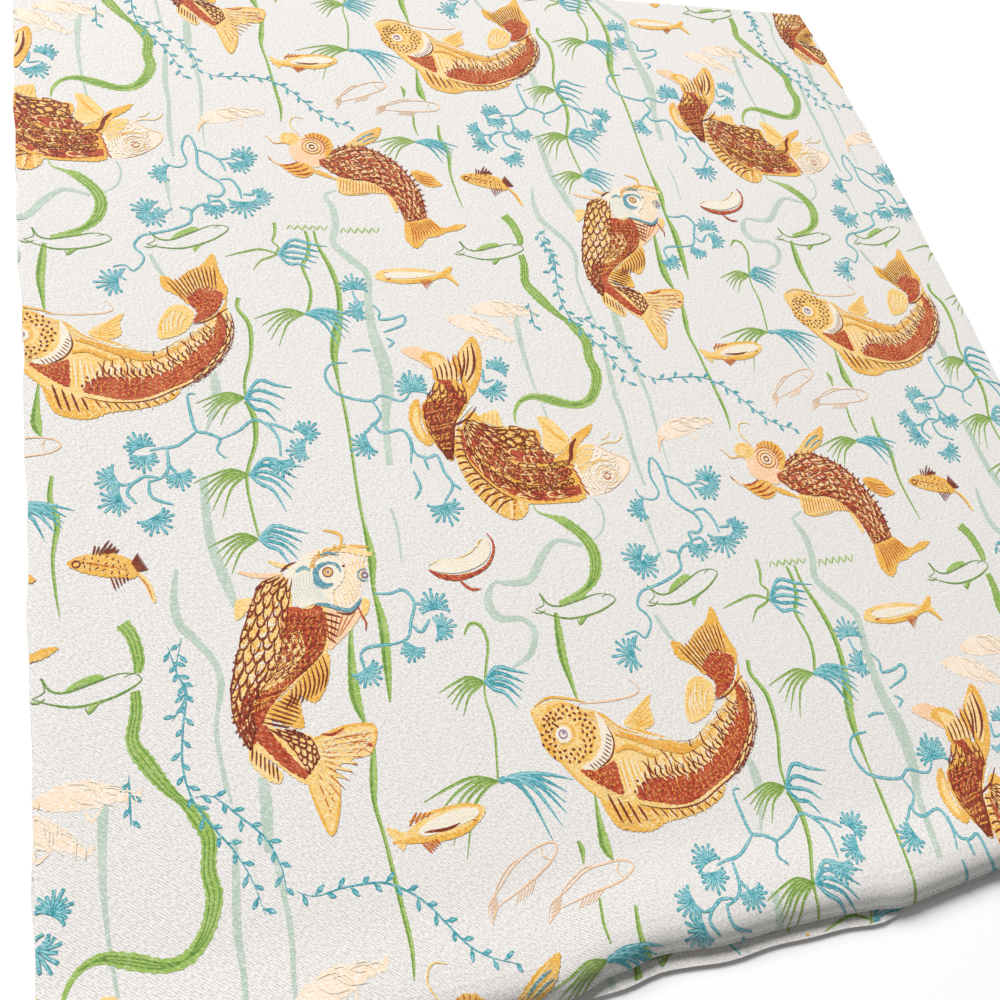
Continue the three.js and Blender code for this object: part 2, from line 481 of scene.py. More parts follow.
def keep(weft, points, triangles):
    """Adds one shape of a weft, as its points and the triangles between them."""
    DRAWN.setdefault(weft, []).append((points, np.asarray(triangles, int).reshape(-1, 3)))


# How far the edge of a filled outline steps in and out, for the wefts whose floats are long.
RAGGED = {"gold": 0.32, "straw": 0.3, "blush": 0.45, "peach": 0.2, "rust": 0.3, "cream": 0.15}


def fill(weft, outline):
    """A filled outline. Its edge steps in and out by a yarn's width where the floats end unevenly."""
    step = RAGGED.get(weft, 0)
    points = curve(outline, closed=True, step=1.0 if step else 1.6)
    way = np.roll(points, -1, 0) - np.roll(points, 1, 0)
    way /= np.maximum(np.hypot(*way.T), 1e-6)[:, None]
    k = np.arange(len(points))
    points = points + np.stack([way[:, 1], -way[:, 0]], 1) * (step * np.sin(k * 2.6 + np.sin(k)))[:, None]
    keep(weft, points, tessellate_polygon([[Vector((x, y, 0)) for x, y in points]]))


def line(weft, points, width=1.0, tip=0.3):
    """A line that narrows to tip times its width at both ends, or has its own width at each point."""
    run = curve(points)
    n = len(run)
    if run.shape[1] == 2:
        t = np.linspace(0, 1, n)
        wide = width * (tip + (1 - tip) * np.minimum(1, np.minimum(t, 1 - t) * 3.5))
    else:
        wide = np.maximum(run[:, 2], 0.15)
    wide = wide * (1 + 0.13 * np.sin(np.arange(n) * 2.7 + points[0][0]))
    way = np.gradient(run[:, :2], axis=0)
    way /= np.maximum(np.hypot(*way.T), 1e-6)[:, None]
    out = np.stack([-way[:, 1], way[:, 0]], 1) * wide[:, None] / 2
    a = np.arange(n - 1)
    quads = [np.stack([a, a + n, a + n + 1], 1), np.stack([a, a + n + 1, a + 1], 1)]
    keep(weft, np.concatenate([run[:, :2] + out, run[:, :2] - out]), np.concatenate(quads))


def along(points, shares):
    """Places at given shares of a smooth line's length."""
    run = curve(points)[:, :2]
    far = np.concatenate([[0], np.cumsum(np.hypot(*np.diff(run, axis=0).T))])
    return np.stack([np.interp(np.asarray(shares) * far[-1], far, run[:, k]) for k in (0, 1)], -1)

# %% [markdown]
# Fins, scales, gill ticks and leaf sprays all repeat, so each is a small loop over shares of a line.

# %% Rays, scales, dots, rings and leaves
def rays(weft, roots, tips, count, width=0.7, bow=0.0, inset=0.0):
    shares = np.linspace(inset, 1 - inset, count)
    for root, tip in zip(along(roots, shares), along(tips, shares)):
        way = tip - root
        middle = (root + tip) / 2 + bow * np.array([-way[1], way[0]])
        line(weft, [root, middle, tip], width)


def ticks(weft, roots, tips, count, width=0.7, bow=0.25):
    """Short hooked strokes of uneven length, as a hand draws them."""
    shares = (np.arange(count) + 0.5) / count
    for k, (root, tip) in enumerate(zip(along(roots, shares), along(tips, shares))):
        way = (tip - root) * (0.72 + 0.28 * math.sin(k * 2.7))
        start = root + (tip - root) * 0.16 * (1 + math.sin(k * 4.1))
        hook = start + way * 0.5 + bow * np.array([-way[1], way[0]]) * (1 if k % 3 else -0.6)
        line(weft, [start, hook, start + way], width * (1 + 0.3 * math.sin(k * 3.3)))


def strokes(weft, one_side, other_side, rows, columns, length=2.0, width=0.55, lean=20):
    """Short scattered floats over the area between two lines, each turned a little from the last."""
    shares = (np.arange(rows) + 0.5) / rows
    first, second = along(one_side, shares), along(other_side, shares)
    for row in range(rows):
        for column in range(columns):
            k = row * 7 + column * 11
            t = (column + 0.5 + 0.35 * math.sin(k * 1.7)) / columns
            place = first[row] * (1 - t) + second[row] * t + 0.5 * np.array([math.sin(k),
                                                                             math.cos(k * 2.3)])
            turn = math.radians(lean + 38 * math.sin(k * 2.9))
            half = length * (0.5 + 0.16 * math.sin(k * 0.9)) * np.array([math.cos(turn), math.sin(turn)])
            hook = 0.16 * np.array([-half[1], half[0]]) * (1 if k % 2 else -1)
            line(weft, [place - half, place + hook, place + half], width)


# One scale's open loop, as shares of a row and of a column.
SCALE_LOOP = [(0, 0), (0.75, 0.16), (1, 0.5), (0.75, 0.84), (0, 1)]


def scales(weft, one_side, other_side, rows, columns, width=0.75, deep=1.15, gap=None):
    """Rows of overlapping scales between two sides of a body, each a small open loop."""
    shares = np.linspace(0, 1, 80)
    first, second = along(one_side, shares), along(other_side, shares)

    def place(s, t):
        s, t = min(max(s, 0), 1), min(max(t, 0), 1)
        ends = [np.array([np.interp(s, shares, side[:, k]) for k in (0, 1)]) for side in (first, second)]
        return ends[0] * (1 - t) + ends[1] * t

    for row in range(rows):
        for column in range(columns + row % 2):
            t = (column - 0.5 * (row % 2)) / columns
            s = row / rows
            if gap and (row * 7 + column * 3) % gap == 0:
                continue
            low = deep * (1 + 0.18 * math.sin(row * 5 + column * 3)) / rows
            t += 0.1 * math.sin(row * 3 + column * 7) / columns
            loop = [place(s + a * low, t + b / columns) for a, b in SCALE_LOOP]
            line(weft, loop, width * (1 + 0.2 * math.sin(row + column * 4)))


def spot(weft, centre, radius, tall=1.0, turn=0.0):
    angles = np.radians(np.arange(0, 360, 45))
    c, s = math.cos(math.radians(turn)), math.sin(math.radians(turn))
    x, y = radius * np.cos(angles), radius * tall * np.sin(angles)
    fill(weft, np.stack([centre[0] + c * x - s * y, centre[1] + s * x + c * y], 1))


GOLDEN_ANGLE = 2.39996  # in radians: turned by this from one to the next, dots never line up


def dots(weft, centre, inner, outer, count, size=0.8):
    """Dots spread evenly round a centre, as seeds in a sunflower."""
    for k in range(count):
        far = math.sqrt(inner ** 2 + (outer ** 2 - inner ** 2) * (k + 0.5) / count)
        angle = k * GOLDEN_ANGLE
        spot(weft, (centre[0] + far * math.cos(angle), centre[1] + far * math.sin(angle)), size, 1.5,
             k * 40)


def ring(weft, centre, radius, width=0.8, start=0, sweep=360, tall=1.0):
    angles = np.radians(np.linspace(start, start + sweep, max(5, int(sweep / 22))))
    points = np.stack([centre[0] + radius * np.cos(angles), centre[1] + radius * tall * np.sin(angles)], 1)
    line(weft, points, width, tip=0.9 if sweep >= 360 else 0.4)


SPRAY_LEAVES, SPRAY_FAN = 11, 220


def spray(centre, facing, reach):
    """A cluster of short teal leaves at the end of a branch: round petals in a fan, with pale veins."""
    turn = math.radians(facing)
    reach = 1.12 * reach
    root = np.array(centre) - 0.4 * reach * np.array([math.cos(turn), math.sin(turn)])
    spot("teal", root + 0.3 * reach * np.array([math.cos(turn), math.sin(turn)]), reach * 0.22, 0.8,
         facing + 90)
    for k in range(SPRAY_LEAVES):
        share = 2 * k / (SPRAY_LEAVES - 1) - 1
        angle = turn + math.radians(SPRAY_FAN / 2) * share
        far = reach * (1.28 - 0.42 * abs(share)) * (0.9 + 0.1 * math.cos(k * 2.3))
        way = np.array([math.cos(angle), math.sin(angle)])
        side = np.array([-way[1], way[0]]) * 0.16 * reach * -share
        middle = root + way * far * 0.6 + side
        tip = root + way * far + side * 0.4
        line("teal", [(*root, 0.7), (*middle, 1.45), (*tip, 1.35)])
        line("sky", [root * 0.6 + middle * 0.4, middle, middle * 0.25 + tip * 0.75], 0.6)


def tuft(centre, left, right, reach, drop, rise):
    """Grass blades that arch over: lime to the left, teal with green edges to the right."""
    x, y = centre
    for count, side, weft, up_most in ((left, -1, "lime", 3.4), (right, 1, "teal", rise)):
        for k in range(count):
            share = k / max(1, count - 1)
            far = side * reach * (1 - 0.45 * share ** 1.3) * (1 + 0.08 * math.sin(k * 5))
            up = up_most * (1 - 1.7 * share)
            low = drop * (0.1 + share) - (up_most - 4) * (1 - share)
            wide = 1.5 if side < 0 else 2.0
            arched = (x + far * 0.33, y + up, wide)
            drooping = (x + far * 0.7, y + up * 0.55 - low * 0.3, wide - 0.3)
            blade = [(x, y, 1.0), arched, drooping, (x + far * 1.05, y - low, 0.3)]
            line(weft, blade)
            line("fern" if side < 0 or k % 2 else "sky", [(a, b + 0.2, 0.35 * w) for a, b, w in blade])
    spot("teal" if right > 2 else "lime", (x + 2, y), 2.0, 0.8)


LEAF_EVERY, LEAF_LONG = 4.8, 4.9


def sprig(stem):
    """A thin stem with small pointed leaves to either side, slanting forward."""
    line("teal", stem, 0.8)
    run = curve(stem)
    length = np.hypot(*np.diff(run, axis=0).T).sum()
    count = max(2, int(length / LEAF_EVERY))
    spots = along(stem, (np.arange(count) + 0.5) / count)
    ahead = along(stem, (np.arange(count) + 0.6) / count)
    for k, (place, beyond) in enumerate(zip(spots, ahead)):
        way = (beyond - place) / np.hypot(*(beyond - place))
        side = np.array([-way[1], way[0]]) * (1 if k % 2 else -1)
        lean = side * (0.7 + 0.2 * math.sin(k * 2.1)) + way * 0.7
        low, middle, tip = [place + lean * LEAF_LONG * share for share in (0.25, 0.55, 1)]
        line("teal", [(*place, 0.6), (*low, 0.8), (*middle, 2.1), (*tip, 0.7)])
        line("sky", [middle, middle * 0.4 + tip * 0.6], 0.5)


print("a smooth line through 3 points has", len(curve([(0, 0), (20, 8), (40, 0)])), "steps")

# %% [markdown]
# ## The leaping carp
# Its head has a ringed eye in a field of dark dots, and a pale gill cover with ticks. A rust band runs
# down its side under a row of pale scales, to a gold tail fan curled up over its back. A carp has many
# small marks, so it is drawn in parts, from the head to the tail, each with a short function.

# %% Leaping carp, head
def leaping_head():
    fill("straw", [
        (-74, -201), (-66, -198), (-58, -198), (-50, -203), (-42, -206), (-36, -211), (-31, -216),
        (-20, -221), (-8, -226), (2, -227), (12, -221), (20, -216), (26, -210), (30, -206), (34, -202),
        (38, -199), (40, -207), (40, -216), (37, -225), (32, -233), (25, -241), (16, -247), (8, -253),
        (-3, -256), (-14, -258), (-28, -260), (-38, -261), (-45, -258), (-49, -252), (-51, -246),
        (-57, -239), (-63, -230), (-68, -221), (-72, -211)])
    line("gold", [(-74, -200), (-71, -214), (-65, -226), (-57, -238), (-50, -246)], 1.4)
    line("gold", [(-72, -199), (-64, -196), (-54, -198), (-46, -201)], 1.2)
    ring("gold", (-59, -213.5), 12.6, 1.3, tall=1.08)
    strokes("gold", [(-73, -203), (-66, -200), (-56, -200), (-49, -205)],
            [(-70, -215), (-64, -227), (-54, -233), (-44, -226)], 9, 6, 2.4, 0.6, 30)
    for far, count in ((11, 26), (8.6, 20)):
        for k in range(count):
            angle = math.radians(k * 360 / count + far * 7)
            ux, uy = math.cos(angle), math.sin(angle)
            line("gold", [(-59.5 + ux * r, -213.5 + uy * r) for r in (far, far - 2)], 1.3)
    line("gold", [(-52, -206, 1), (-42, -208, 2.4), (-34, -214, 2), (-28, -218, 1)])
    line("gold", [
        (-36, -217, 1), (-26, -219, 4.6), (-15, -224, 5), (-4, -229, 3.6), (6, -228, 3), (16, -221, 1)])
    for drop in (0, 2.2, 4.6):
        line("cream", [
            (-50, -203 - drop), (-40, -207 - drop * 1.2), (-33, -214 - drop), (-24, -219 - drop * 0.6),
            (-12, -224), (2, -226), (14, -219 + drop * 0.3)], 0.55)
    for drop in (1.2, 3.4):
        line("gold", [(-49, -204 - drop), (-40, -208 - drop * 1.2), (-33, -215 - drop)], 0.6)
    line("gold", [(-38, -225, 1.2), (-30, -225, 2.6), (-22, -230, 2.4), (-14, -234, 1)])
    fill("cream", [
        (-43, -206), (-39, -213), (-38, -221), (-42, -228), (-50, -232), (-56, -230), (-49, -227),
        (-44, -221), (-43, -213)])
    dots("umber", (-58.5, -214), 7, 13.6, 60, 0.56)
    dots("umber", (-66, -208), 0, 4.6, 9, 0.5)
    rays("honey", [(-70, -206), (-66, -221), (-56, -231)], [(-66, -204), (-62, -219), (-54, -226)], 9, 0.8)
    ring("straw", (-60.5, -213.5), 6.4, 1.2)
    ring("gold", (-60.5, -213.5), 4.9, 1.2)
    spot("cream", (-61, -214), 3.9)
    ring("mauve", (-61.2, -213.8), 1.9, 0.8)
    spot("mauve", (-60.8, -213.2), 0.8)
    rays("umber", [(-38, -219), (-40, -225), (-44, -230), (-50, -232)],
         [(-40.5, -217), (-43, -223), (-47, -227.5), (-52, -229)], 11, 0.6)
    line("umber", [(-39, -213), (-37.5, -221), (-41, -228), (-48, -232)], 0.7)


leaping_head()
tell("leaping carp, head")

# %% [markdown]
# Behind the head come a rust throat, a rayed fin and the back, where pale and dark ticks cross a
# straw ground. The ticks are spread along two lines that bound the back, so they fan out with it.

# %% Leaping carp, throat and back
def leaping_back():
    fill("rust", [
        (-57, -231), (-50, -232.5), (-44, -231), (-39.5, -230), (-39, -238), (-39.5, -246), (-46, -242),
        (-52, -237)])
    fill("straw", [
        (-38, -229), (-34, -228), (-29, -232), (-26, -238), (-27, -244), (-31, -249), (-36, -248),
        (-39, -240)])
    rays("cream", [(-37, -229), (-34, -229), (-30, -232)], [(-36, -247), (-31, -247), (-27, -243)], 4, 0.7)
    rays("gold", [(-38, -231), (-33, -228), (-28, -234)], [(-37, -245), (-33, -249), (-28, -244)], 5, 0.6)
    fill("straw", [
        (-27, -234), (-18, -231), (-6, -233), (6, -229.5), (15, -223), (24, -215), (31, -209), (30, -217),
        (21, -228), (12, -236), (2, -241), (-10, -243), (-22, -242), (-30, -241)])
    back_line = [(-27, -234), (-18, -231), (-6, -233), (6, -229), (15, -223), (24, -215), (30, -210)]
    flank_line = [(-25, -242), (-14, -242), (-2, -242), (8, -238), (18, -230), (27, -221), (32, -214)]
    mid_line = [(0.4 * a + 0.6 * c, 0.4 * b + 0.6 * d) for (a, b), (c, d) in zip(flank_line, back_line)]
    ticks("honey", back_line, flank_line, 30, 1.3, 0.12)
    ticks("cream", back_line, flank_line, 21, 0.6, 0.2)
    ticks("copper", flank_line, back_line, 24, 0.7, 0.15)
    rays("umber", flank_line, mid_line, 24, 0.95, 0.24)
    ticks("umber", flank_line, [(x - 1.5, y + 3) for x, y in back_line], 18, 0.7, 0.2)
    strokes("gold", [(-28, -222), (-10, -228), (8, -226), (22, -214), (31, -207)],
            [(-24, -232), (-6, -232), (8, -229), (18, -221), (29, -212)], 20, 3, 3.0, 0.6, 10)
    strokes("cream", [(-26, -219), (-12, -223), (4, -226), (18, -217), (29, -208)],
            [(-22, -221), (-8, -226), (6, -228), (17, -220), (28, -211)], 20, 2, 2.6, 0.5, 14)
    line("amber", [(-36, -218, 0.8), (-27, -221, 2.6), (-15, -227, 3.2), (-4, -231, 2.4), (6, -229, 0.8)])
    line("amber", [(-38, -226, 0.8), (-31, -225, 1.5), (-25, -228, 1.5), (-20, -231, 0.6)])


leaping_back()
tell("leaping carp, throat and back")

# %% [markdown]
# The flank is one rust band that narrows to the tail. Small scattered floats of amber break it up,
# and a gold belly with dark bars follows its lower edge.

# %% Leaping carp, flank and belly
def leaping_flank():
    fill("rust", [
        (-31, -244), (-27, -241), (-18, -241), (-8, -242), (3, -240), (12, -235), (20, -227), (28, -218),
        (32, -210), (34, -202), (37, -210), (36, -219), (32, -228), (26, -236), (18, -244), (8, -249),
        (-4, -254), (-14, -255), (-25, -252), (-33, -249)])
    dots("umber", (-30, -245), 0, 4.5, 7, 0.55)
    strokes("amber", [(-30, -250), (-14, -253), (4, -250), (18, -242), (29, -230), (35, -213)],
            [(-28, -243), (-12, -243), (4, -241), (15, -233), (26, -222), (32, -207)], 26, 4, 1.9, 0.42, 60)
    strokes("amber", [(-56, -233), (-48, -239), (-41, -243)],
            [(-49, -234), (-43, -233), (-41, -234)], 6, 3, 1.8, 0.42, 60)
    strokes("amber", [(22, -192), (30, -188), (36, -192)],
            [(22, -206), (28, -204), (34, -200)], 7, 4, 1.8, 0.42, 60)
    ticks("cream", [(35, -203), (38, -214), (34, -227), (26, -238), (12, -248), (-8, -256)],
          [(38, -204), (41, -214), (37, -229), (29, -241), (14, -251), (-8, -259)], 38, 0.7)
    scales("umber", [(35, -203), (37, -212), (35, -222), (28, -233), (18, -243)],
           [(40, -203), (41, -212), (39, -223), (32, -235), (20, -247)], 9, 2, 0.6)
    line("umber", [
        (-33, -252), (-20, -256), (-4, -256), (8, -251), (20, -245), (30, -236), (37, -224)], 0.7)
    fill("gold", [
        (-51, -245), (-46, -249), (-36, -252), (-24, -255), (-10, -257), (2, -255), (11, -251), (9, -255),
        (0, -259), (-12, -261), (-22, -262), (-30, -265), (-38, -264), (-45, -261), (-49, -254)])
    rays("umber", [(-47, -244), (-41, -248), (-34, -252)], [(-43, -259), (-36, -261), (-31, -260)], 4, 1.2)
    rays("umber", [(-28, -254), (-14, -257), (2, -255), (7, -252)],
         [(-25, -259), (-11, -261), (3, -258), (9, -254)], 9, 0.7)
    strokes("honey", [(-48, -248), (-34, -253), (-14, -257), (6, -253)],
            [(-46, -259), (-34, -263), (-14, -261), (4, -258)], 20, 3, 2.6, 0.7, 75)
    rays("honey", [(-38, -253), (-20, -257)], [(-34, -263), (-17, -261)], 5, 1.0)


leaping_flank()
tell("leaping carp, flank and belly")

# %% [markdown]
# Two fins stand up from the back, and the tail fan opens above them. Each is a filled outline with
# rays drawn between its root and its tip.

# %% Leaping carp, fins and tail
def leaping_tail():
    fill("straw", [
        (3, -218), (4, -208), (9, -199), (15, -197), (21, -201), (21, -207), (17, -214), (10, -218)])
    rays("gold", [(5, -216), (9, -216), (14, -214)], [(6, -206), (12, -199), (19, -204)], 6, 0.9, 0.1)
    rays("cream", [(6, -215), (10, -215), (14, -213)], [(8, -205), (13, -200), (18, -204)], 5, 0.6, 0.1)
    fill("straw", [(-30, -213), (-20, -206), (-13, -202), (-15, -208), (-15, -216), (-24, -218)])
    rays("gold", [(-28, -214), (-24, -216)], [(-14, -203), (-16, -215)], 5, 1.0)
    fill("gold", [
        (6, -178), (10, -178.5), (14, -181), (20, -175), (28, -170), (33, -163), (35, -164), (36, -172),
        (38, -181), (40, -188), (37, -194), (30, -190), (20, -197), (14, -191), (7, -186)])
    rays("umber", [(18, -195), (22, -191), (27, -187), (34, -187)],
         [(9, -181), (16, -178), (26, -172), (34, -172)], 13, 0.75)
    rays("honey", [(19, -192), (26, -187)], [(12, -182), (28, -173)], 6, 0.8)
    strokes("honey", [(10, -181), (18, -178), (27, -172), (34, -168)],
            [(18, -194), (24, -189), (30, -186), (36, -190)], 9, 5, 2.8, 0.6, 115)
    fill("rust", [
        (19, -191), (24, -187), (30, -185), (37, -190), (36, -196), (33, -202), (28, -206), (21, -209),
        (23, -202), (20, -197)])
    line("gold", [(22, -208), (29, -207), (36, -201), (39, -193)], 1.6)
    line("umber", [(20, -210), (28, -208), (35, -203), (39, -200)], 0.7)
    line("peach", [(-50, -201), (-34, -202), (-21, -201), (-18, -198), (-22, -193)], 0.8)


leaping_tail()
tell("leaping carp, fins and tail")

# %% [markdown]
# ## The diving carp
# Its pale head has a teal ring round each eye and a teal lip. Straw scales with dark edges cover its
# back, a solid rust flank narrows to the tail, and striped fins open on the belly side. The back comes
# first: a filled outline, then floats and rows of scales between the back's line and the belly's.

# %% Diving carp, back
def diving_back():
    back = [
        (-181, -120), (-189, -123), (-194, -134), (-199, -146), (-203, -160), (-206, -173), (-205, -186),
        (-200, -198), (-190, -208), (-180, -216)]
    belly = [
        (-174, -122), (-176, -130), (-178, -138), (-180, -148), (-183, -158), (-189, -168), (-197, -180),
        (-197, -190), (-190, -200), (-180, -212)]
    fill("straw", [(-200, -130), (-192, -130), (-197, -137), (-201, -139)])
    fill("straw",
         back[:8] + [(-192, -204), (-184, -212), (-178, -216), (-173, -208), (-172, -199), (-176, -195),
                     (-184, -192), (-190, -189), (-186, -178), (-174, -169), (-163, -160), (-160, -146),
                     (-162, -137), (-175, -136), (-174, -124)])
    strokes("gold", back[:8], belly[:8], 26, 5, 3.0, 1.1, 75)
    scales("umber", back[:8], belly[:8], 15, 4, 0.85, 1.3)
    scales("cream", back[2:6], belly[2:6], 8, 3, 0.8, 0.8, gap=2)
    strokes("honey", back[:8], belly[:8], 28, 5, 2.2, 0.8, 75)
    strokes("copper", back[:8], belly[:8], 24, 4, 2.4, 0.5, 70)
    strokes("umber", [(x - 0.8, y) for x, y in back[1:8]],
            [(x + 1.5, y - 1) for x, y in back[1:8]], 26, 1, 2.6, 0.7, 30)
    for k in range(6):
        spot("cream", (-181.5 - 2.5 * k, -134 - 4.6 * k), 1.15, 0.8, 60)


diving_back()
tell("diving carp, back")

# %% [markdown]
# The rust flank bends in a hook round the belly, with scales of dark yarn over it. Two gold fins
# with dark bars stand out from it, and a small one from the root of the tail.

# %% Diving carp, flank and belly fins
def diving_flank():
    fill("rust", [
        (-181, -140), (-176, -136), (-169, -138), (-163, -137), (-161, -146), (-163, -156), (-168, -163),
        (-176, -169), (-186, -177), (-192, -184), (-198, -196), (-204, -190), (-203, -180), (-197, -172),
        (-188, -166), (-183, -158)])
    scales("honey", [(-184, -150), (-186, -162), (-195, -174)],
           [(-174, -148), (-173, -158), (-184, -170)], 6, 3, 1.2)
    strokes("amber", [(-180, -139), (-183, -154), (-190, -168), (-199, -183)],
            [(-163, -139), (-163, -155), (-174, -167), (-192, -180)], 18, 7, 2.0, 0.45, 50)
    strokes("umber", [(-181, -141), (-184, -156), (-191, -170), (-200, -185)],
            [(-163, -141), (-163, -156), (-175, -168), (-192, -182)], 12, 6, 1.8, 0.55, 10)
    scales("umber", [(-180, -140), (-183, -156), (-190, -168)], [(-163, -140), (-164, -158), (-178, -170)],
           7, 5, 0.5)
    line("rust", [(-196, -190, 7), (-190, -199, 6), (-184, -207, 5), (-178, -213, 3)])
    strokes("honey", [(-190, -190), (-184, -196), (-177, -208)],
            [(-183, -193), (-175, -198), (-173, -204)], 6, 3, 2, 0.8, 60)
    scales("umber", [(-192, -190), (-184, -198), (-177, -212)], [(-182, -192), (-174, -198), (-172, -206)],
           8, 3, 0.9)
    fill("gold", [
        (-163, -160), (-163, -170), (-166, -177), (-171, -182), (-177, -178), (-185, -178), (-178, -172)])
    rays("umber", [(-165, -161), (-172, -167), (-180, -174)], [(-166, -176), (-173, -180), (-184, -183)], 9,
         0.8, 0.12)
    fill("gold", [(-192, -183), (-184, -178), (-178, -178), (-177, -184), (-177, -192), (-184, -190)])
    rays("umber", [(-194, -187), (-188, -180), (-182, -177)],
         [(-183, -191), (-178, -187), (-178, -180)], 8, 0.8)
    fill("straw", [(-199, -196), (-201, -202), (-196, -210), (-190, -214), (-188, -210), (-194, -203)])
    rays("umber", [(-199, -197), (-190, -206)], [(-200, -203), (-190, -213)], 7, 0.7)


diving_flank()
tell("diving carp, flank and belly fins")

# %% [markdown]
# The tail is forked: one lobe points to the right and the other straight down. Honey and copper
# rays run from its root to both tips.

# %% Diving carp, tail
def diving_tail():
    line("gold", [(-174, -198), (-160, -194.6), (-147.5, -195.6), (-147, -202), (-150, -208)], 1.5)
    line("gold", [(-178, -216), (-175, -228), (-171, -238), (-167, -230), (-165, -220)], 1.3)
    fill("straw", [
        (-174, -198), (-168, -196), (-160, -195), (-152, -195), (-147, -196), (-147, -202), (-150, -208),
        (-158, -209), (-166, -212), (-165, -220), (-167, -230), (-171, -238), (-175, -228), (-178, -216),
        (-174, -208)])
    rays("honey", [(-172, -199), (-172, -206), (-174, -214)],
         [(-149, -197), (-153, -207), (-168, -222)], 9, 1.3)
    rays("copper", [(-171, -199), (-171, -207), (-174, -214)],
         [(-148, -199), (-153, -208), (-170, -230)], 11, 0.6)
    strokes("cream", [(-170, -198), (-160, -197), (-149, -198)],
            [(-170, -208), (-160, -207), (-149, -206)], 6, 4, 3.0, 0.4, 8)
    strokes("copper", [(-170, -198), (-160, -197), (-149, -198)],
            [(-170, -209), (-160, -208), (-149, -206)], 7, 5, 3.4, 0.45, 6)
    strokes("copper", [(-175, -212), (-175, -222), (-172, -232)],
            [(-167, -212), (-167, -222), (-170, -232)], 7, 3, 3.0, 0.4, -68)
    strokes("honey", [(-175, -212), (-175, -222), (-172, -232)],
            [(-168, -212), (-167, -222), (-170, -232)], 7, 3, 3.4, 0.7, -70)
    line("rust", [(-170, -196), (-165, -197), (-160, -195)], 1.3)
    line("rust", [(-152, -203), (-148, -205)], 1.4)


diving_tail()
tell("diving carp, tail")

# %% [markdown]
# The head is seen from above, so both eyes show. It is built up from pale fills, fine rays and a few
# broad teal lines with a width of their own at each point.

# %% Diving carp, head
def diving_head():
    fill("blush", [
        (-176, -118), (-170, -113), (-163, -109), (-152, -108.5), (-145, -110), (-139, -110.5),
        (-133, -115), (-138, -119), (-141, -124), (-142, -131), (-146, -138), (-152, -141), (-160, -138),
        (-165, -136), (-172, -137), (-175, -130), (-176, -123)])
    fill("cream", [
        (-176, -118), (-170, -113), (-164, -110), (-160, -113), (-154, -114), (-149, -119), (-151, -126),
        (-156, -131), (-157, -138), (-165, -136), (-172, -137), (-175, -130), (-176, -123)])
    rays("cream", [(-158, -110), (-150, -109), (-138, -112)],
         [(-150, -117), (-146, -118), (-140, -118)], 7, 0.8)
    rays("cream", [(-155, -131), (-149, -124), (-143, -121)],
         [(-153, -139), (-147, -136), (-143, -130)], 8, 0.7)
    rays("mist", [(-174, -121), (-168, -117), (-163, -126)], [(-173, -134), (-166, -135), (-158, -136)], 11,
         0.45, -0.08)
    rays("honey", [(-158, -131), (-149, -118), (-140, -115)],
         [(-155, -138), (-147, -137), (-142, -126)], 11, 0.7, 0.06)
    line("honey", [
        (-162, -117, 1), (-159.5, -112, 2), (-153, -109.5, 3), (-146, -110, 3.6), (-140, -112.5, 3.4),
        (-135, -114, 1.6)])
    fill("peach", [(-162, -139), (-148, -141), (-144, -142), (-148, -148), (-156, -155), (-162, -158)])
    rays("copper", [(-161, -141), (-147, -142)], [(-161, -155), (-156, -153)], 6, 0.6)
    rays("umber", [(-163, -140), (-162, -152)], [(-154, -144), (-158, -156)], 5, 0.9)
    strokes("amber", [(-166, -119), (-163, -112), (-156, -108.6), (-148, -107.6)],
            [(-163, -118), (-160.5, -113), (-155, -110.6), (-147, -109.6)], 12, 3, 2.8, 0.5, 40)
    line("gold", [(-157, -98.5), (-151, -100.5), (-148.5, -103), (-149.5, -108)], 1.6)
    line("gold", [(-148, -108), (-141, -109), (-136, -110)], 1.5)
    line("marine", [(-172, -119, 1), (-168, -117, 2.2), (-165.5, -119, 1)])
    line("peach", [(-198, -116), (-188, -119), (-178, -119)], 2.4)
    line("straw", [(-184, -112), (-178, -115), (-172, -116)], 2.2)
    line("umber", [(-179, -118), (-175, -115), (-171, -114)], 1.0)
    line("marine", [
        (-155.5, -116, 1.2), (-159.5, -116.6, 2), (-162.4, -119, 2.6), (-163, -122.5, 3.2),
        (-161.6, -126.4, 4), (-158.2, -127.6, 2.6), (-155.5, -126.8, 0.8)])
    line("marine", [(-156, -116, 1), (-153, -117.2, 1.6), (-151.6, -119.5, 1.2), (-151.5, -121.5, 0.5)])
    ring("umber", (-157.2, -120.8), 2.4, 0.6)
    ring("amber", (-157.2, -120.8), 1.5, 0.8)
    spot("mauve", (-157.2, -120.8), 0.7)
    line("marine", [(-160, -112), (-156, -110.8), (-151, -112.5)], 1.3)
    ring("marine", (-140.5, -124), 3.0, 0.7, 60, 240)
    ring("mauve", (-140.2, -124), 1.3, 0.8)
    spot("umber", (-149.5, -118.5), 0.7)
    line("marine", [
        (-165, -136, 1), (-160, -137, 1.8), (-155, -139.4, 1.8), (-149, -141, 2.2), (-143.6, -136, 0.8)])
    line("umber", [(-156, -141), (-150, -143), (-146, -140)], 0.8)
    line("rust", [(-146, -138), (-144.5, -144), (-143, -148), (-144, -152)], 1.0)
    fill("straw", [(-143, -136), (-140, -137), (-141, -142), (-145, -146)])


diving_head()
tell("diving carp, head")

# %% [markdown]
# ## The rising carp
# It is seen from its back: rust bands run the length of the body between rows of gold scales, a barred
# fringe follows the belly, and the head is very pale, with rings round the eye. The tail comes first,
# because the body's scales lie over its root.

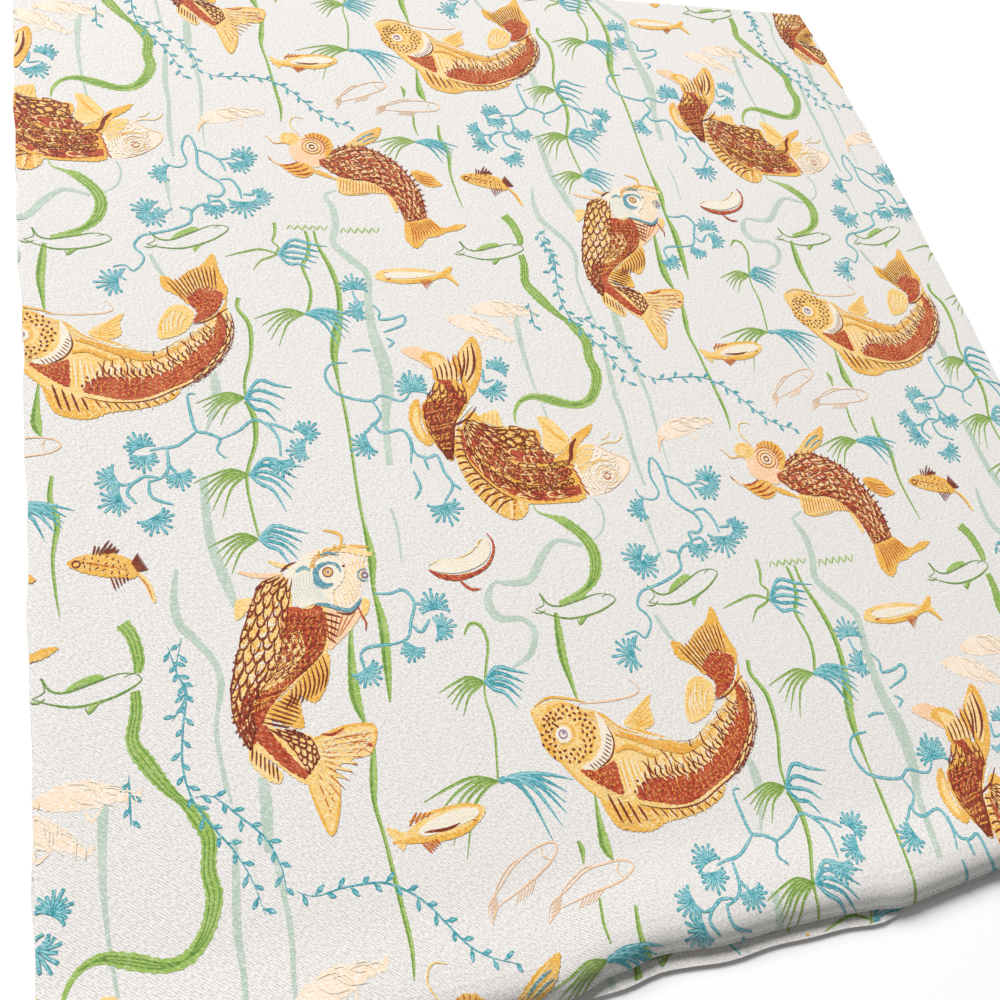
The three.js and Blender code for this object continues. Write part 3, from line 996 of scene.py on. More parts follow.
# %% Rising carp, tail
def rising_tail():
    fill("gold", [
        (-70, -27), (-71, -16), (-71, -4), (-68, 3), (-63, 9), (-59, 12.5), (-56.5, 9), (-56, 0),
        (-58, -10), (-61, -18), (-66, -26)])
    fill("honey", [
        (-67.5, -20), (-69, -10), (-68.5, -1), (-65.5, 5), (-61.5, 8), (-59.5, 7), (-59, -1), (-61.5, -10),
        (-65, -18)])
    fill("gold", [
        (-78, -17), (-86, -15), (-86, -6), (-91, -1), (-88, 3), (-82, 3), (-78, 0), (-75, -5), (-71, 1),
        (-71, -10), (-73, -17)])
    fill("peach", [(-86, -8), (-92, -3), (-98, 1), (-101, 5), (-95, 7), (-89, 6), (-84, 1)])
    fill("honey", [
        (-83, -15), (-76, -15.5), (-72, -16), (-72.5, -8), (-76, -4), (-81, -1), (-86, 1), (-85, -6)])
    rays("umber", [(-84, -16), (-77, -16), (-71, -18)], [(-84, -7), (-77, -3), (-70, 0)], 6, 1.0, -0.05)
    line("umber", [(-60.5, 8, 0.6), (-60.5, -2, 1.7), (-63, -11, 1.5), (-68, -18, 0.7)])
    line("umber", [(-66, 3, 0.5), (-67, -6, 1.3), (-71, -16, 1)])
    line("umber", [(-63, 6, 0.4), (-64.5, -4, 1.1), (-68, -14, 0.8)])
    rays("copper", [(-82, -15), (-71, -17)], [(-82, -4), (-69, 3)], 5, 0.7)


rising_tail()
tell("rising carp, tail")

# %% [markdown]
# The root of the tail is rust between two gold fins, under a net of dark scales.

# %% Rising carp, root of the tail
def rising_root():
    fill("gold", [
        (-86, -17), (-79, -15), (-70, -20), (-68, -27), (-72, -34), (-78, -43), (-80, -52), (-85, -66),
        (-90, -60), (-95, -51), (-97, -40), (-95, -30), (-88, -24)])
    fill("gold", [
        (-97, -27), (-102, -31), (-104, -40), (-102, -50), (-97, -56), (-94, -54), (-98, -44), (-97, -35)])
    fill("honey", [(-98.5, -32), (-102, -39), (-100.5, -48), (-97.5, -52), (-98.5, -42)])
    fill("rust", [
        (-94, -30), (-80, -29), (-71, -27), (-75, -36), (-82, -44), (-82, -54), (-86, -64), (-90, -56),
        (-93, -46), (-95, -38)])
    fill("rust", [(-84, -16), (-78, -15), (-76, -20), (-74, -27), (-80, -28), (-80, -21)])
    scales("umber", [(-86, -17), (-94, -32), (-95, -46), (-88, -64)], [(-71, -18), (-70, -28), (-80, -44),
                                                                      (-85, -65)], 9, 5, 0.9, 1.3)
    strokes("amber", [(-93, -26), (-94, -44), (-89, -60)],
            [(-72, -24), (-81, -42), (-85, -60)], 12, 6, 2, 0.5, 40)
    strokes("umber", [(-93, -24), (-94, -44), (-89, -60)],
            [(-70, -22), (-80, -42), (-85, -60)], 10, 5, 2, 0.6, -10)
    line("umber", [(-66, -34), (-72, -41), (-80, -45), (-82, -52), (-84, -62)], 1.1)
    line("cream", [(-68, -33), (-78, -43), (-81, -53)], 0.9)


rising_root()
tell("rising carp, root of the tail")

# %% [markdown]
# Three rust bands follow the body, each a line with its own width at each point. The scales are
# rows of open loops between the two sides, with some left out, as the worn cloth has them.

# %% Rising carp, body
def rising_body():
    fill("gold", [
        (-74, -41), (-68, -37), (-63, -45), (-56, -48), (-48, -47.5), (-41, -50), (-35, -51), (-34, -57),
        (-36, -63), (-31, -69), (-24, -66), (-15, -58), (-16, -68), (-20, -76), (-18, -84), (-17, -92),
        (-22, -96), (-32, -96), (-44, -95.5), (-55, -93.5), (-64, -88), (-71, -80), (-77.5, -69),
        (-79, -55)])
    fill("straw", [
        (-33, -43), (-27, -44), (-22, -50), (-18, -58), (-22, -64), (-29, -67), (-34, -62), (-32, -52)])
    line("gold", [(-31, -46), (-26, -54), (-20, -60)], 2.0)
    fill("gold", [(-17, -58), (-12, -54), (-6, -51), (-2, -49.5), (-5, -55), (-11, -60), (-17, -65)])
    line("umber", [(-14, -58), (-18, -63), (-20, -70), (-24, -74)], 2.2)
    fill("straw", [(-67, -41), (-61, -38), (-55, -37), (-54, -43), (-54, -48), (-60, -46)])
    rays("gold", [(-64, -43), (-57, -47)], [(-62, -38), (-55, -38)], 4, 0.9)
    bands = [
        [(-76, -48, 2), (-75, -62, 4.4), (-69, -74, 4.6), (-61, -83, 5), (-50, -89, 6), (-36, -91, 6.4),
         (-19, -89, 5.5)],
        [(-73, -47, 3), (-70, -58, 6), (-63, -68, 7), (-53, -76, 7.5), (-42, -80, 8), (-30, -80, 8),
         (-22, -77, 4)],
        [(-70, -45, 3), (-64, -56, 6), (-56, -63, 6.5), (-46, -67, 7), (-36, -68, 8), (-30, -70, 6)]]
    for band in bands:
        line("rust", band)
    top_side = [
        (-25, -67), (-31, -67), (-36, -59), (-42, -50), (-50, -47.5), (-58, -48), (-66, -44), (-73, -42)]
    low_side = [
        (-22, -92), (-34, -93), (-46, -92), (-56, -89), (-64, -83), (-71, -74), (-75, -62), (-76, -49)]
    scales("honey", top_side, low_side, 15, 7, 0.85, 1.0, gap=3)
    scales("umber", top_side, low_side, 14, 7, 0.7, 1.35, gap=4)
    scales("umber", [(-70, -42), (-58, -49), (-46, -50), (-37, -52)],
           [(-68, -50), (-60, -58), (-48, -62), (-36, -63)], 8, 2, 1.0, 1.4)
    rays("umber", [(-71, -52), (-64, -62), (-52, -71), (-38, -74), (-28, -74)],
         [(-73, -54), (-66, -65), (-54, -74), (-40, -77), (-29, -77)], 15, 0.8)
    for shift in (0, 5.5, 11):
        base = [
            (-74 + shift, -60), (-66 + shift * 0.7, -73 + shift), (-54, -82 + shift), (-38, -85 + shift),
            (-22, -82 + shift)]
        scales("umber", base, [(x, y - 3.4) for x, y in base], 15, 1, 0.6, 1.2)
        strokes("amber", base, [(x - 1, y - 5) for x, y in base], 20, 2, 1.8, 0.42, 70)
    for sides in (1, -1):
        rays("umber", [(-73, -66), (-66, -75), (-55, -82), (-42, -85), (-24, -84)],
             [(-71 + sides, -70), (-64 + sides, -78), (-53 + sides, -86), (-41 + sides, -88.5),
              (-24 + sides, -87)], 14, 0.9, 0.1 * sides)
    rays("rust", [(-24, -73), (-20, -78), (-18, -88)], [(-19, -75), (-18, -82), (-15, -93)], 5, 1.0)


rising_body()
tell("rising carp, body")

# %% [markdown]
# The fringe runs between two lines, the fringe's edge and the skin, and its bars join them.

# %% Rising carp, barred fringe
def rising_fringe():
    fringe = [
        (-80, -46), (-82, -56), (-83, -66), (-81, -76), (-78, -84), (-73, -92), (-67, -99), (-60, -103),
        (-53, -101), (-50, -95)]
    skin = [(-77, -47), (-78, -57), (-77, -67), (-73, -75), (-68, -82), (-62, -88), (-56, -92), (-50, -94)]
    fill("gold", fringe + skin[::-1])
    rays("honey", fringe[2:], skin[2:], 9, 2.0)
    strokes("honey", fringe, skin, 26, 3, 2.6, 0.7, -30)
    rays("umber", fringe[:7], skin[:7], 14, 1.0, 0.12, inset=0.03)
    rays("copper", fringe[4:8], skin[4:7], 4, 1.9, 0.1)
    line("umber", skin[:7], 0.8)


rising_fringe()
tell("rising carp, barred fringe")

# %% [markdown]
# The head is nearly as pale as the ground, so most of it is drawn with cream on blush.

# %% Rising carp, head
def rising_head():
    fill("blush", [
        (-19, -68), (-14, -62), (-6, -62), (0, -66), (6, -70), (12, -73), (12.5, -78), (8, -84), (0, -90),
        (-8, -93), (-16, -93), (-18, -85), (-20, -76)])
    line("peach", [
        (-6, -62), (0, -66), (6, -70), (12, -73), (12.5, -78), (8, -84), (0, -90), (-8, -93)], 0.7)
    fill("straw", [(-18, -68), (-12, -63), (-5, -63), (-8, -70), (-12, -76), (-16, -80)])
    strokes("cream", [(-17, -68), (-6, -64), (6, -72)],
            [(-17, -90), (-6, -92), (6, -84)], 10, 7, 2.6, 0.5, 20)
    rays("cream", [(-15, -78), (-10, -74)], [(-12, -92), (-2, -90)], 5, 1.1, -0.1)
    ring("gold", (-3, -82), 9.5, 1.4, 60, 130)
    for far, weft in ((7.2, "cream"), (5.4, "straw"), (3.6, "cream"), (1.9, "copper")):
        ring(weft, (-2, -82.5), far, 0.7)
    line("straw", [(-2, -64), (3, -62), (9, -62), (13, -59), (14, -56)], 0.8)
    line("straw", [(0, -60), (4, -59), (7, -55)], 0.6)
    line("gold", [(-18, -90), (-26, -95.5), (-17, -94)], 1.4)


rising_head()
tell("rising carp, head")

# %% [markdown]
# ## The browsing carp
# Rings of copper and honey surround its eye and its mouth is a small curl. Behind the head come spiny
# scales, a fine fin like a comb along the belly, and small leaf-shaped fins.

# %% Browsing carp, head
def browsing_head():
    fill("peach", [
        (86, -77), (90, -76), (95, -71), (101, -69), (107, -72), (109, -79), (108, -86), (102, -91),
        (100, -97), (92, -95), (86, -91), (84, -84)])
    line("gold", [(95, -72, 2), (101, -70.5, 4), (107, -74, 5), (108.5, -81, 4.5), (105, -88, 2)])
    rays("copper", [(95, -70), (102, -68.5), (108, -73), (110, -80)],
         [(97, -74), (101, -74), (104, -77), (105, -82)], 9, 0.9)
    for far, weft, wide in ((7.6, "copper", 0.8), (5.8, "copper", 0.6), (4.7, "honey", 1.2),
                            (3.7, "copper", 0.6),
                            (2.7, "cream", 1.0), (1.5, "umber", 0.6)):
        ring(weft, (98, -80.5), far, wide, -60 if far > 7 else 0, 200 if far > 7 else 360)
    line("sage", [(91.5, -83), (92.5, -87), (95.5, -89.5)], 1.8)
    fill("straw", [(92, -73), (88, -69), (82, -69.5), (79.5, -74), (82, -78), (87, -79), (91, -77)])
    ring("gold", (85.5, -74), 4.2, 0.6)
    line("gold", [(90, -72), (86, -76.5), (81, -77.5), (76, -78), (73.5, -74.5), (71, -72)], 0.8)
    line("straw", [(92, -71), (88.5, -66), (87, -62), (88, -57.5), (91, -55.5), (96, -57)], 0.8)
    fill("gold", [
        (77, -95), (83, -95), (90, -93.5), (95, -96), (97, -101), (92, -105), (87, -105), (82, -101)])
    rays("rust", [(78, -96), (82, -100), (86, -103)], [(88, -93), (94, -97), (96, -101)], 4, 1.3, -0.1)
    line("peach", [(71.5, -89), (74, -93), (78, -96)], 1.4)
    line("umber", [(71, -89), (73, -92.5)], 0.6)


browsing_head()
tell("browsing carp, head")

# %% [markdown]
# The body is one bow from the head to the root of the tail, with rows of rust scales edged in dark
# yarn and a line of short spines along the back.

# %% Browsing carp, body
def browsing_body():
    body_top = [
        (109, -84), (116, -80), (124, -79), (133, -81), (141, -86), (148, -93), (153, -102), (157, -112),
        (159, -124), (159, -136)]
    body_low = [
        (101, -94), (106, -99), (112, -104), (120, -106), (128, -107), (135, -111), (141, -118),
        (144, -126), (145, -133), (146, -139)]
    fill("peach", body_top + body_low[::-1])
    fill("gold", [(96, -98), (103, -101), (110, -106), (118, -110), (112, -108), (104, -105), (98, -102)])
    line("rust", [
        (101, -92, 3), (106, -93, 7), (113, -99, 7), (121, -103, 6), (130, -105, 6.5), (138, -110, 7),
        (144, -118, 8), (148, -127, 9), (151, -137, 10)])
    line("rust", [
        (110, -88, 3), (120, -89, 4.5), (130, -91, 6), (140, -96, 6), (147, -105, 6), (150, -116, 5)])
    scales("honey", body_top, body_low, 19, 5, 0.85, gap=4)
    scales("rust", body_top, body_low, 18, 5, 1.5, 1.3)
    strokes("amber", body_top, body_low, 17, 4, 1.8, 0.5, 0)
    scales("umber", body_top, body_low, 17, 4, 0.7, 1.5)
    rays("umber", [(116, -82), (128, -82), (139, -87), (148, -96), (154, -106), (156, -120), (156, -134)],
         [(114, -78), (126, -77), (139, -82), (149, -91), (157, -102), (161, -116), (161, -131)], 20, 0.8,
         0.2)
    rays("peach", [(118, -83), (130, -83), (141, -89), (150, -99), (155, -112), (156, -130)],
         [(118, -79), (131, -79), (143, -86), (153, -97), (159, -110), (160, -128)], 15, 0.9)


browsing_body()
tell("browsing carp, body")

# %% [markdown]
# The comb of the belly fin is many thin rays between its root and its edge. The tail and the two
# leaf-shaped fins are filled outlines with a few rays each.

# %% Browsing carp, fins and tail
def browsing_fins():
    fill("straw", [
        (111, -104), (109, -110), (110, -116), (115, -118), (123, -117), (131, -117), (138, -118),
        (141, -121), (138, -113), (130, -108), (120, -107)])
    rays("copper", [(112, -106), (122, -107.5), (131, -109.5), (138, -114)],
         [(110, -116), (121, -117.5), (131, -117), (139, -119)], 16, 0.6)
    line("gold", [(109, -116), (115, -118.5), (128, -117.5)], 0.9)
    line("straw", [(138, -116, 1), (141, -124, 3.4), (142, -132, 2)])
    fill("gold", [
        (156, -99), (161, -98), (168, -101), (172, -107), (174, -110), (166, -111.5), (160, -108),
        (157, -104)])
    rays("copper", [(157, -100), (159, -106)], [(170, -104), (170, -110)], 4, 0.9, -0.08)
    fill("gold", [
        (146, -139), (144, -147), (144, -154), (148, -159.5), (152, -158), (157, -152), (163, -151),
        (170, -147.5), (177, -146), (183, -142), (177, -141.5), (170, -144), (166, -143), (163, -139),
        (159, -136), (152, -139)])
    rays("copper", [(148, -140), (154, -140), (160, -138)],
         [(148, -157), (157, -151), (166, -146)], 10, 1.0, 0.05)
    fill("gold", [
        (116, -80), (122, -75), (130, -68), (137, -64), (143, -62), (142, -67), (137, -74), (128, -79),
        (120, -82)])
    rays("honey", [(118, -79), (122, -80)], [(139, -64), (140, -71)], 4, 0.9)
    line("marine", [(126, -75), (132, -70), (138, -67.5)], 1.2)
    line("marine", [(129, -76), (135, -72), (139, -71)], 0.9)


browsing_fins()
tell("browsing carp, fins and tail")

# %% [markdown]
# ## Small fish
# A spiny gold fish, a gold minnow and a striped one, three green outline minnows that share one drawing,
# a long-tailed shrimp, three pale shadows of fish and two more fish as plain peach outlines.

# %% Small fish
def mover(dx, dy, turn=0.0, grow=1.0):
    """Gives a function that turns, grows and shifts points, so that one drawing serves several fish."""
    c, s = math.cos(math.radians(turn)) * grow, math.sin(math.radians(turn)) * grow

    def moved(points):
        return [(dx + c * p[0] - s * p[1], dy + s * p[0] + c * p[1], *p[2:]) for p in points]

    return moved


def spiny_fish():
    fill("gold", [
        (-42, 133), (-38, 136), (-30, 137), (-22, 136), (-15, 132), (-12, 127), (-14, 123), (-22, 124),
        (-30, 126), (-37, 129)])
    line("straw", [(-13, 126, 2), (-9, 120, 2.4), (-7, 114, 2.4), (-6, 110, 1)])
    line("copper", [(-40, 134), (-28, 131), (-16, 127)], 0.9)
    strokes("honey", [(-38, 135), (-27, 136), (-16, 131)],
            [(-37, 130), (-27, 126), (-16, 125)], 9, 3, 2.2, 0.6, 10)
    strokes("umber", [(-36, 135), (-27, 136), (-16, 131)],
            [(-36, 130), (-27, 126), (-16, 125)], 7, 3, 1.6, 0.5, 60)
    ring("umber", (-38, 132.5), 1.6, 0.7)
    rays("umber", [(-31, 136), (-25, 136)], [(-30, 141), (-21, 138)], 6, 0.8)
    rays("umber", [(-28, 137), (-22, 136)], [(-24, 143), (-20, 138)], 4, 0.8)
    rays("umber", [(-15, 130), (-13, 126)], [(-12, 135), (-8, 127)], 7, 0.9)
    rays("umber", [(-24, 125), (-17, 124)], [(-22, 118), (-17, 122)], 5, 0.8)
    line("copper", [(-13, 125), (-9, 119), (-7, 112)], 0.6)


def outline_minnow(dx, dy, turn, grow=1.0, fin=True):
    moved = mover(dx, dy, turn, grow)
    for weft, width, points in (
            ("fern", 1.0, [(-22, 1), (-15, -3), (-5, -6), (8, -5), (17, -2), (21, 1), (18, 4), (14, 3)]),
            ("fern", 0.9, [(-22, 1), (-17, 3), (-18, 9), (-15, 3), (-9, 1), (2, 3), (12, 5), (18, 4)]),
            ("fern", 0.7, [(-24, 0), (-20, -1.5), (-17, 0)])):
        line(weft, moved(points), width)
    fill("lime", moved([(-9, 1), (-2, 3), (6, 4), (4, 6.5), (-3, 5.5), (-8, 3)]))
    fill("lime", moved([(0, -6), (8, -5), (3, -7), (-1, -10)]))
    if fin:
        line("fern", moved([(4, -5.5), (-1, -10), (-2, -6)]), 0.8)


def gold_minnow(dx, dy, turn):
    moved = mover(dx, dy, turn)
    fill("straw",
         moved([(-24, 0), (-20, 5), (-8, 6), (6, 5), (14, 3), (20, 7), (23, 7), (21, 2), (24, -6), (17, -1),
                (4, -3), (-8, -4), (-18, -3)]))
    fill("cream", moved([(-18, 3), (-8, 4), (6, 3), (12, 1.5), (2, -0.5), (-10, -1), (-17, 0)]))
    line("gold", moved([(-18, -2, 1), (-8, -3.5, 2.4), (6, -2.5, 2.4), (17, 0, 2), (24, -7, 1)]))
    line("gold", moved([(14, 1, 1), (19, 3, 3.4), (22, 7, 1)]))
    line("peach", moved([(-22, 2), (-14, 6), (0, 6), (12, 4)]), 1.2)
    ring("rust", moved([(-17, 1)])[0], 2.4, 1.0, -110, 230)
    rays("copper", moved([(2, -2), (6, -2)]), moved([(5, -9), (9, -4)]), 5, 0.9)


def striped_minnow(dx, dy, turn):
    """Like the gold minnow, with a dark line along its side and a dark chin."""
    moved = mover(dx, dy, turn)
    fill("straw",
         moved([(-22, 4), (-19, -2), (-16, -6), (-13, -3), (-2, -4), (10, -3), (19, 0), (22, 4), (18, 7),
                (6, 7), (-6, 5), (-14, 1), (-18, 3)]))
    fill("cream", moved([(-8, 1), (2, 5), (14, 6), (19, 4), (16, 1), (4, -1), (-6, -2)]))
    line("umber", moved([(-6, -0.5), (4, -0.8), (10, 0.5)]), 1.2)
    line("gold", moved([(-20, -2, 1), (-10, -3, 2.2), (4, -4, 2.4), (14, -2, 2), (20, 3, 1)]))
    line("gold", moved([(-12, 5), (0, 7), (14, 7.5), (21, 5)]), 1.3)
    rays("copper", moved([(-8, -4), (-2, -4)]), moved([(-4, -9), (0, -6)]), 5, 1.0)
    rays("copper", moved([(-12, 3), (-4, 5)]), moved([(-8, 8), (-2, 7)]), 4, 1.0)
    line("copper", moved([(17, 3), (15.5, 1), (18, 0)]), 0.8)


def shrimp():
    fill("cream", [
        (-108, -125), (-102, -121), (-92, -121), (-84, -118), (-78, -112), (-76, -118), (-80, -124),
        (-90, -128), (-100, -128)])
    line("straw", [(-109, -123), (-103, -121), (-94, -121), (-86, -118), (-80, -113)], 0.7)
    line("rust", [
        (-109, -125, 0.8), (-104, -129, 2.2), (-96, -131, 3), (-87, -130, 2), (-79, -126, 1.6),
        (-74.5, -119, 1.3), (-74, -113, 1), (-76, -109, 0.5)])
    line("gold", [(-103, -128), (-96, -130), (-88, -129)], 0.9)
    line("rust", [(-95, -132), (-92, -136), (-89, -138), (-85, -138)], 1.5)
    ring("straw", (-79, -115), 3, 0.6)


def shadow_fish(dx, dy, turn, grow=1.0, hollow=False):
    moved = mover(dx, dy, turn, grow)
    if hollow:
        outline = [
            (-22, -8), (-19, -1), (-10, 1.5), (0, 4.5), (12, 4.5), (20, 2), (22, -1.5), (17, -4.5), (6, -5),
            (-6, -4.5), (-16, -4), (-22, -8)]
        line("peach", moved(outline), 0.75)
        line("peach", moved([(-14, 1), (-8, 4), (0, 6), (6, 4.5)]), 0.6)
        line("peach", moved([(16, 3), (14, 0), (16, -4)]), 0.6)
        rays("peach", moved([(-15, -3.5), (-13, 0.5)]), moved([(-21, -7), (-19, -1.5)]), 5, 0.5)
        rays("peach", moved([(-4, -4.6), (6, -5)]), moved([(-8, -8), (0, -9)]), 6, 0.5)
    else:
        shape = moved([(-20, -1), (-12, 5), (0, 7), (10, 4), (17, 1), (21, 3), (19, -2), (12, -2), (4, -4),
                       (-8, -5), (-16, -4)])
        fill("blush", shape)
        ticks("cream", shape[1:4], shape[8:5:-1], 9, 0.5)
        line("peach", moved([(-19, 1), (-17, -2), (-18, -4)]), 0.6)
        line("blush", moved([(6, -4), (3, -9), (0, -5)]), 1.6)


spiny_fish()
outline_minnow(-38, -153, 0)
outline_minnow(23, -151, 15, 1.05, fin=False)
outline_minnow(-34, 74, 3)
gold_minnow(145, -181, 0)
striped_minnow(102, -7, 0)
shrimp()
for place in ((53, -56, 12), (-53, 18, -28), (-36, 30, -8)):
    shadow_fish(*place)
line("peach", [(33, -70), (35, -64), (40, -61)], 1.6)
for place in ((133, -31, 26, 0.95), (163, -42, 3, 1.0)):
    shadow_fish(*place, hollow=True)
tell("small fish")

# %% [markdown]
# ## Water plants
# A thick lime weed winds through the middle. Thin stems carry tufts of grass, lime to the left and teal
# to the right, and pale sage ribbons hang behind everything.

# %% Weed, stems and ribbons
WEED = [
    [(-20, 102, 6), (-16, 95, 5.5), (-14, 84, 5), (-15, 79, 3)],
    [(-16, 71, 4), (-16, 62, 5), (-18, 50, 5.5), (-13, 40, 7), (-6, 29, 5), (0, 22, 3.4), (5, 16, 7),
     (9, 6, 6), (8, -6, 6), (9.5, -16, 6.5), (6, -27, 6), (-1, -35, 5.5), (-10, -36.5, 5), (-22, -32.5, 6),
     (-32, -29.5, 4), (-40, -32, 2.5), (-45, -39, 1.8), (-46, -46, 0.8)],
    [(-48, -95, 0.6), (-46, -100, 1), (-40, -103, 2), (-33, -107, 5.5), (-25, -116, 6), (-21.5, -126, 6.5),
     (-24, -137, 6), (-30, -144, 4), (-38, -148, 3.6), (-47, -150, 1)]]
STEMS = [
    [(-50, -155, 2), (-51, -165, 4), (-52, -178, 4.2), (-51, -190, 2.4), (-50, -200, 1)],
    [(-53, -243, 0.8), (-54, -256, 3), (-54, -266, 5), (-52, -273, 1)],
    [(-66, -261, 1.5), (-65, -265, 2.6), (-66, -271, 0.6)],
    [(91, -146, 1.4), (92, -157, 1.8), (97, -174, 3), (99, -188, 3), (98, -204, 3.4), (94, -219, 5.5),
     (91, -233, 4), (91, -252, 1.2), (92, -268, 1.8), (92, -286, 1.5), (91.5, -320, 1.6), (92, -334, 1.8),
     (93, -352, 4.2), (91.5, -368, 2), (93, -386, 4.4), (92, -405, 4), (90.5, -423, 1)],
    [(86, -146, 1.6), (87, -155, 2), (85, -165, 2.4), (81.5, -172, 2), (84, -186, 1.6), (83, -196, 1.8),
     (79.5, -206, 1.4)],
    [(79, -381, 1), (76.5, -398, 3), (75.5, -418, 5), (78, -431, 1.4)],
    [(80, -442, 2), (78, -455, 3.5), (77, -466, 2), (79, -480, 1.6), (81, -500, 2), (83, -520, 2),
     (82, -533, 0.6)],
    [(45, -193, 2.4), (44, -200, 2.2), (49, -212, 2.6), (48, -230, 2), (43.5, -246, 1.6), (43, -257, 1.4)],
    [(43, -259, 2.4), (46, -270, 3), (45, -284, 2.2), (40, -299, 1.6), (39, -310, 1.4), (41, -330, 1.2),
     (42, -336, 1)],
    [(181, -58, 1.6), (180, -70, 2.4), (183, -82, 2.8), (181, -100, 1.6), (182, -116, 1.2),
     (183.5, -128, 0.5)],
    [(69.5, -140, 2), (69, -148, 1.6), (67, -154, 1.2), (70, -158, 1.2), (67.5, -163, 1.2)],
    [(-98, -160, 0.8), (-94, -155, 1.6), (-89, -157, 1.8), (-87.5, -166, 1.4), (-91, -178, 1.2),
     (-94, -190, 1), (-93, -206, 1.2), (-96, -228, 1)],
    [(166, -50, 1.2), (165, -60, 1.4), (166, -68, 0.8)],
]
RIBBONS = [
    [(19, 4, 2), (18, -12, 3), (17, -30, 3.2), (18, -48, 2.2), (17, -66, 2.8), (18, -90, 1.4)],
    [(32, 2, 1.4), (35, -14, 2), (37, -34, 2.2), (36, -56, 1.6), (36, -82, 0.5)],
    [(108, -115, 1), (101, -119, 2), (104, -129, 4), (104, -142, 4), (101, -155, 4), (109, -167, 5),
     (117, -178, 4), (115, -196, 4.5), (114, -218, 5.5), (117, -240, 7.5), (116, -258, 6), (112, -276, 4),
     (110, -302, 3.5)],
    [(-13, -95, 1.2), (-10.5, -103, 1.2), (-13, -113, 1.2), (-20, -119, 1)],
    [(-27, -121, 2), (-40, -117, 2.6), (-50, -125, 4), (-59, -136, 4), (-70, -137, 3), (-78, -136, 1.6),
     (-83, -145, 4.4), (-79, -154, 4), (-68, -156, 2.6), (-63, -163, 3.4), (-68, -174, 3), (-78, -179, 1)],
    [(-122, -90, 1.2), (-120.5, -102, 1.6), (-121.5, -120, 0.5)],
    [(4, 125, 1.6), (2, 113, 3), (3, 100, 4), (10, 90, 3.6), (17, 79, 3), (18.5, 68, 2.2), (15, 48, 1.2),
     (17, 30, 1.6), (19, 18, 1)],
    [(19, 172, 4), (19, 152, 4), (20, 136, 4.4), (24, 120, 5), (28, 104, 3)],
    [(-30, 26, 4), (-31, 2, 3), (-30, -20, 1.6), (-27, -44, 1.4)],
    [(-214, -152, 1.5), (-209, -166, 2), (-213, -186, 1.6), (-211, -214, 2)],
    [(-196, -210, 4), (-196, -224, 5), (-197, -240, 3)],
    [(2, -163, 2), (5, -172, 2.6), (9, -179, 1)],
    [(28, -240, 3), (29, -250, 5), (27, -262, 3), (22, -276, 1)],
    [(13, -110, 3), (14, -124, 1.2), (15, -138, 0.5)],
]
ZIGZAGS = [[(76 + 2.1 * k, -143.5 - 0.05 * k + (1.5 if k % 2 else -1.5)) for k in range(12)],
           [(106 + 2.1 * k, -146 + (1.9 if k % 2 else -1.9)) for k in range(12)]]


def weed_and_ribbons():
    for points in RIBBONS:
        line("sage", points)
    for points in WEED:
        line("lime", points)
        edge = [(x - 0.30 * w, y - 0.12 * w, 0.6) for x, y, w in points if w > 2]
        other = [(x + 0.32 * w, y + 0.10 * w, 0.6) for x, y, w in points if w > 2]
        middle = [(x, y, 0.5) for x, y, w in points if w > 3]
        for shade in (edge, middle, other):
            if len(shade) > 1:
                line("fern", shade)
    for points in STEMS:
        line("lime", points)
        line("fern", [(x - 0.25 * w, y, 0.35 * w) for x, y, w in points])
    for points in ZIGZAGS:
        line("lime", points, 1.1, 0.6)


weed_and_ribbons()
TUFTS = [(-187, -100, 5, 5, 22, 15, 6), (-188, -65, 6, 5, 25, 20, 8), (-186, -20.5, 6, 4, 23, 14, 10),
         (163, -73.5, 5, 6, 26, 16, 2), (69, -163, 2, 5, 27, 10, 10), (79, -205, 5, 6, 26, 19, 3),
         (-96, -229, 5, 6, 33, 26, 1), (-93, -184, 5, 5, 21, 13, 6)]
for x, y, left, right, reach, drop, rise in TUFTS:
    tuft((x, y), left, right, reach, drop, rise)
print("plants drawn,", len(TUFTS), "tufts and", len(STEMS), "stems")

# %% [markdown]
# ## Teal branches and vines
# Branches fork like coral and end in sprays of short leaves. Thin vines carry small pointed leaves that
# slant forward, by turns to the left and to the right.

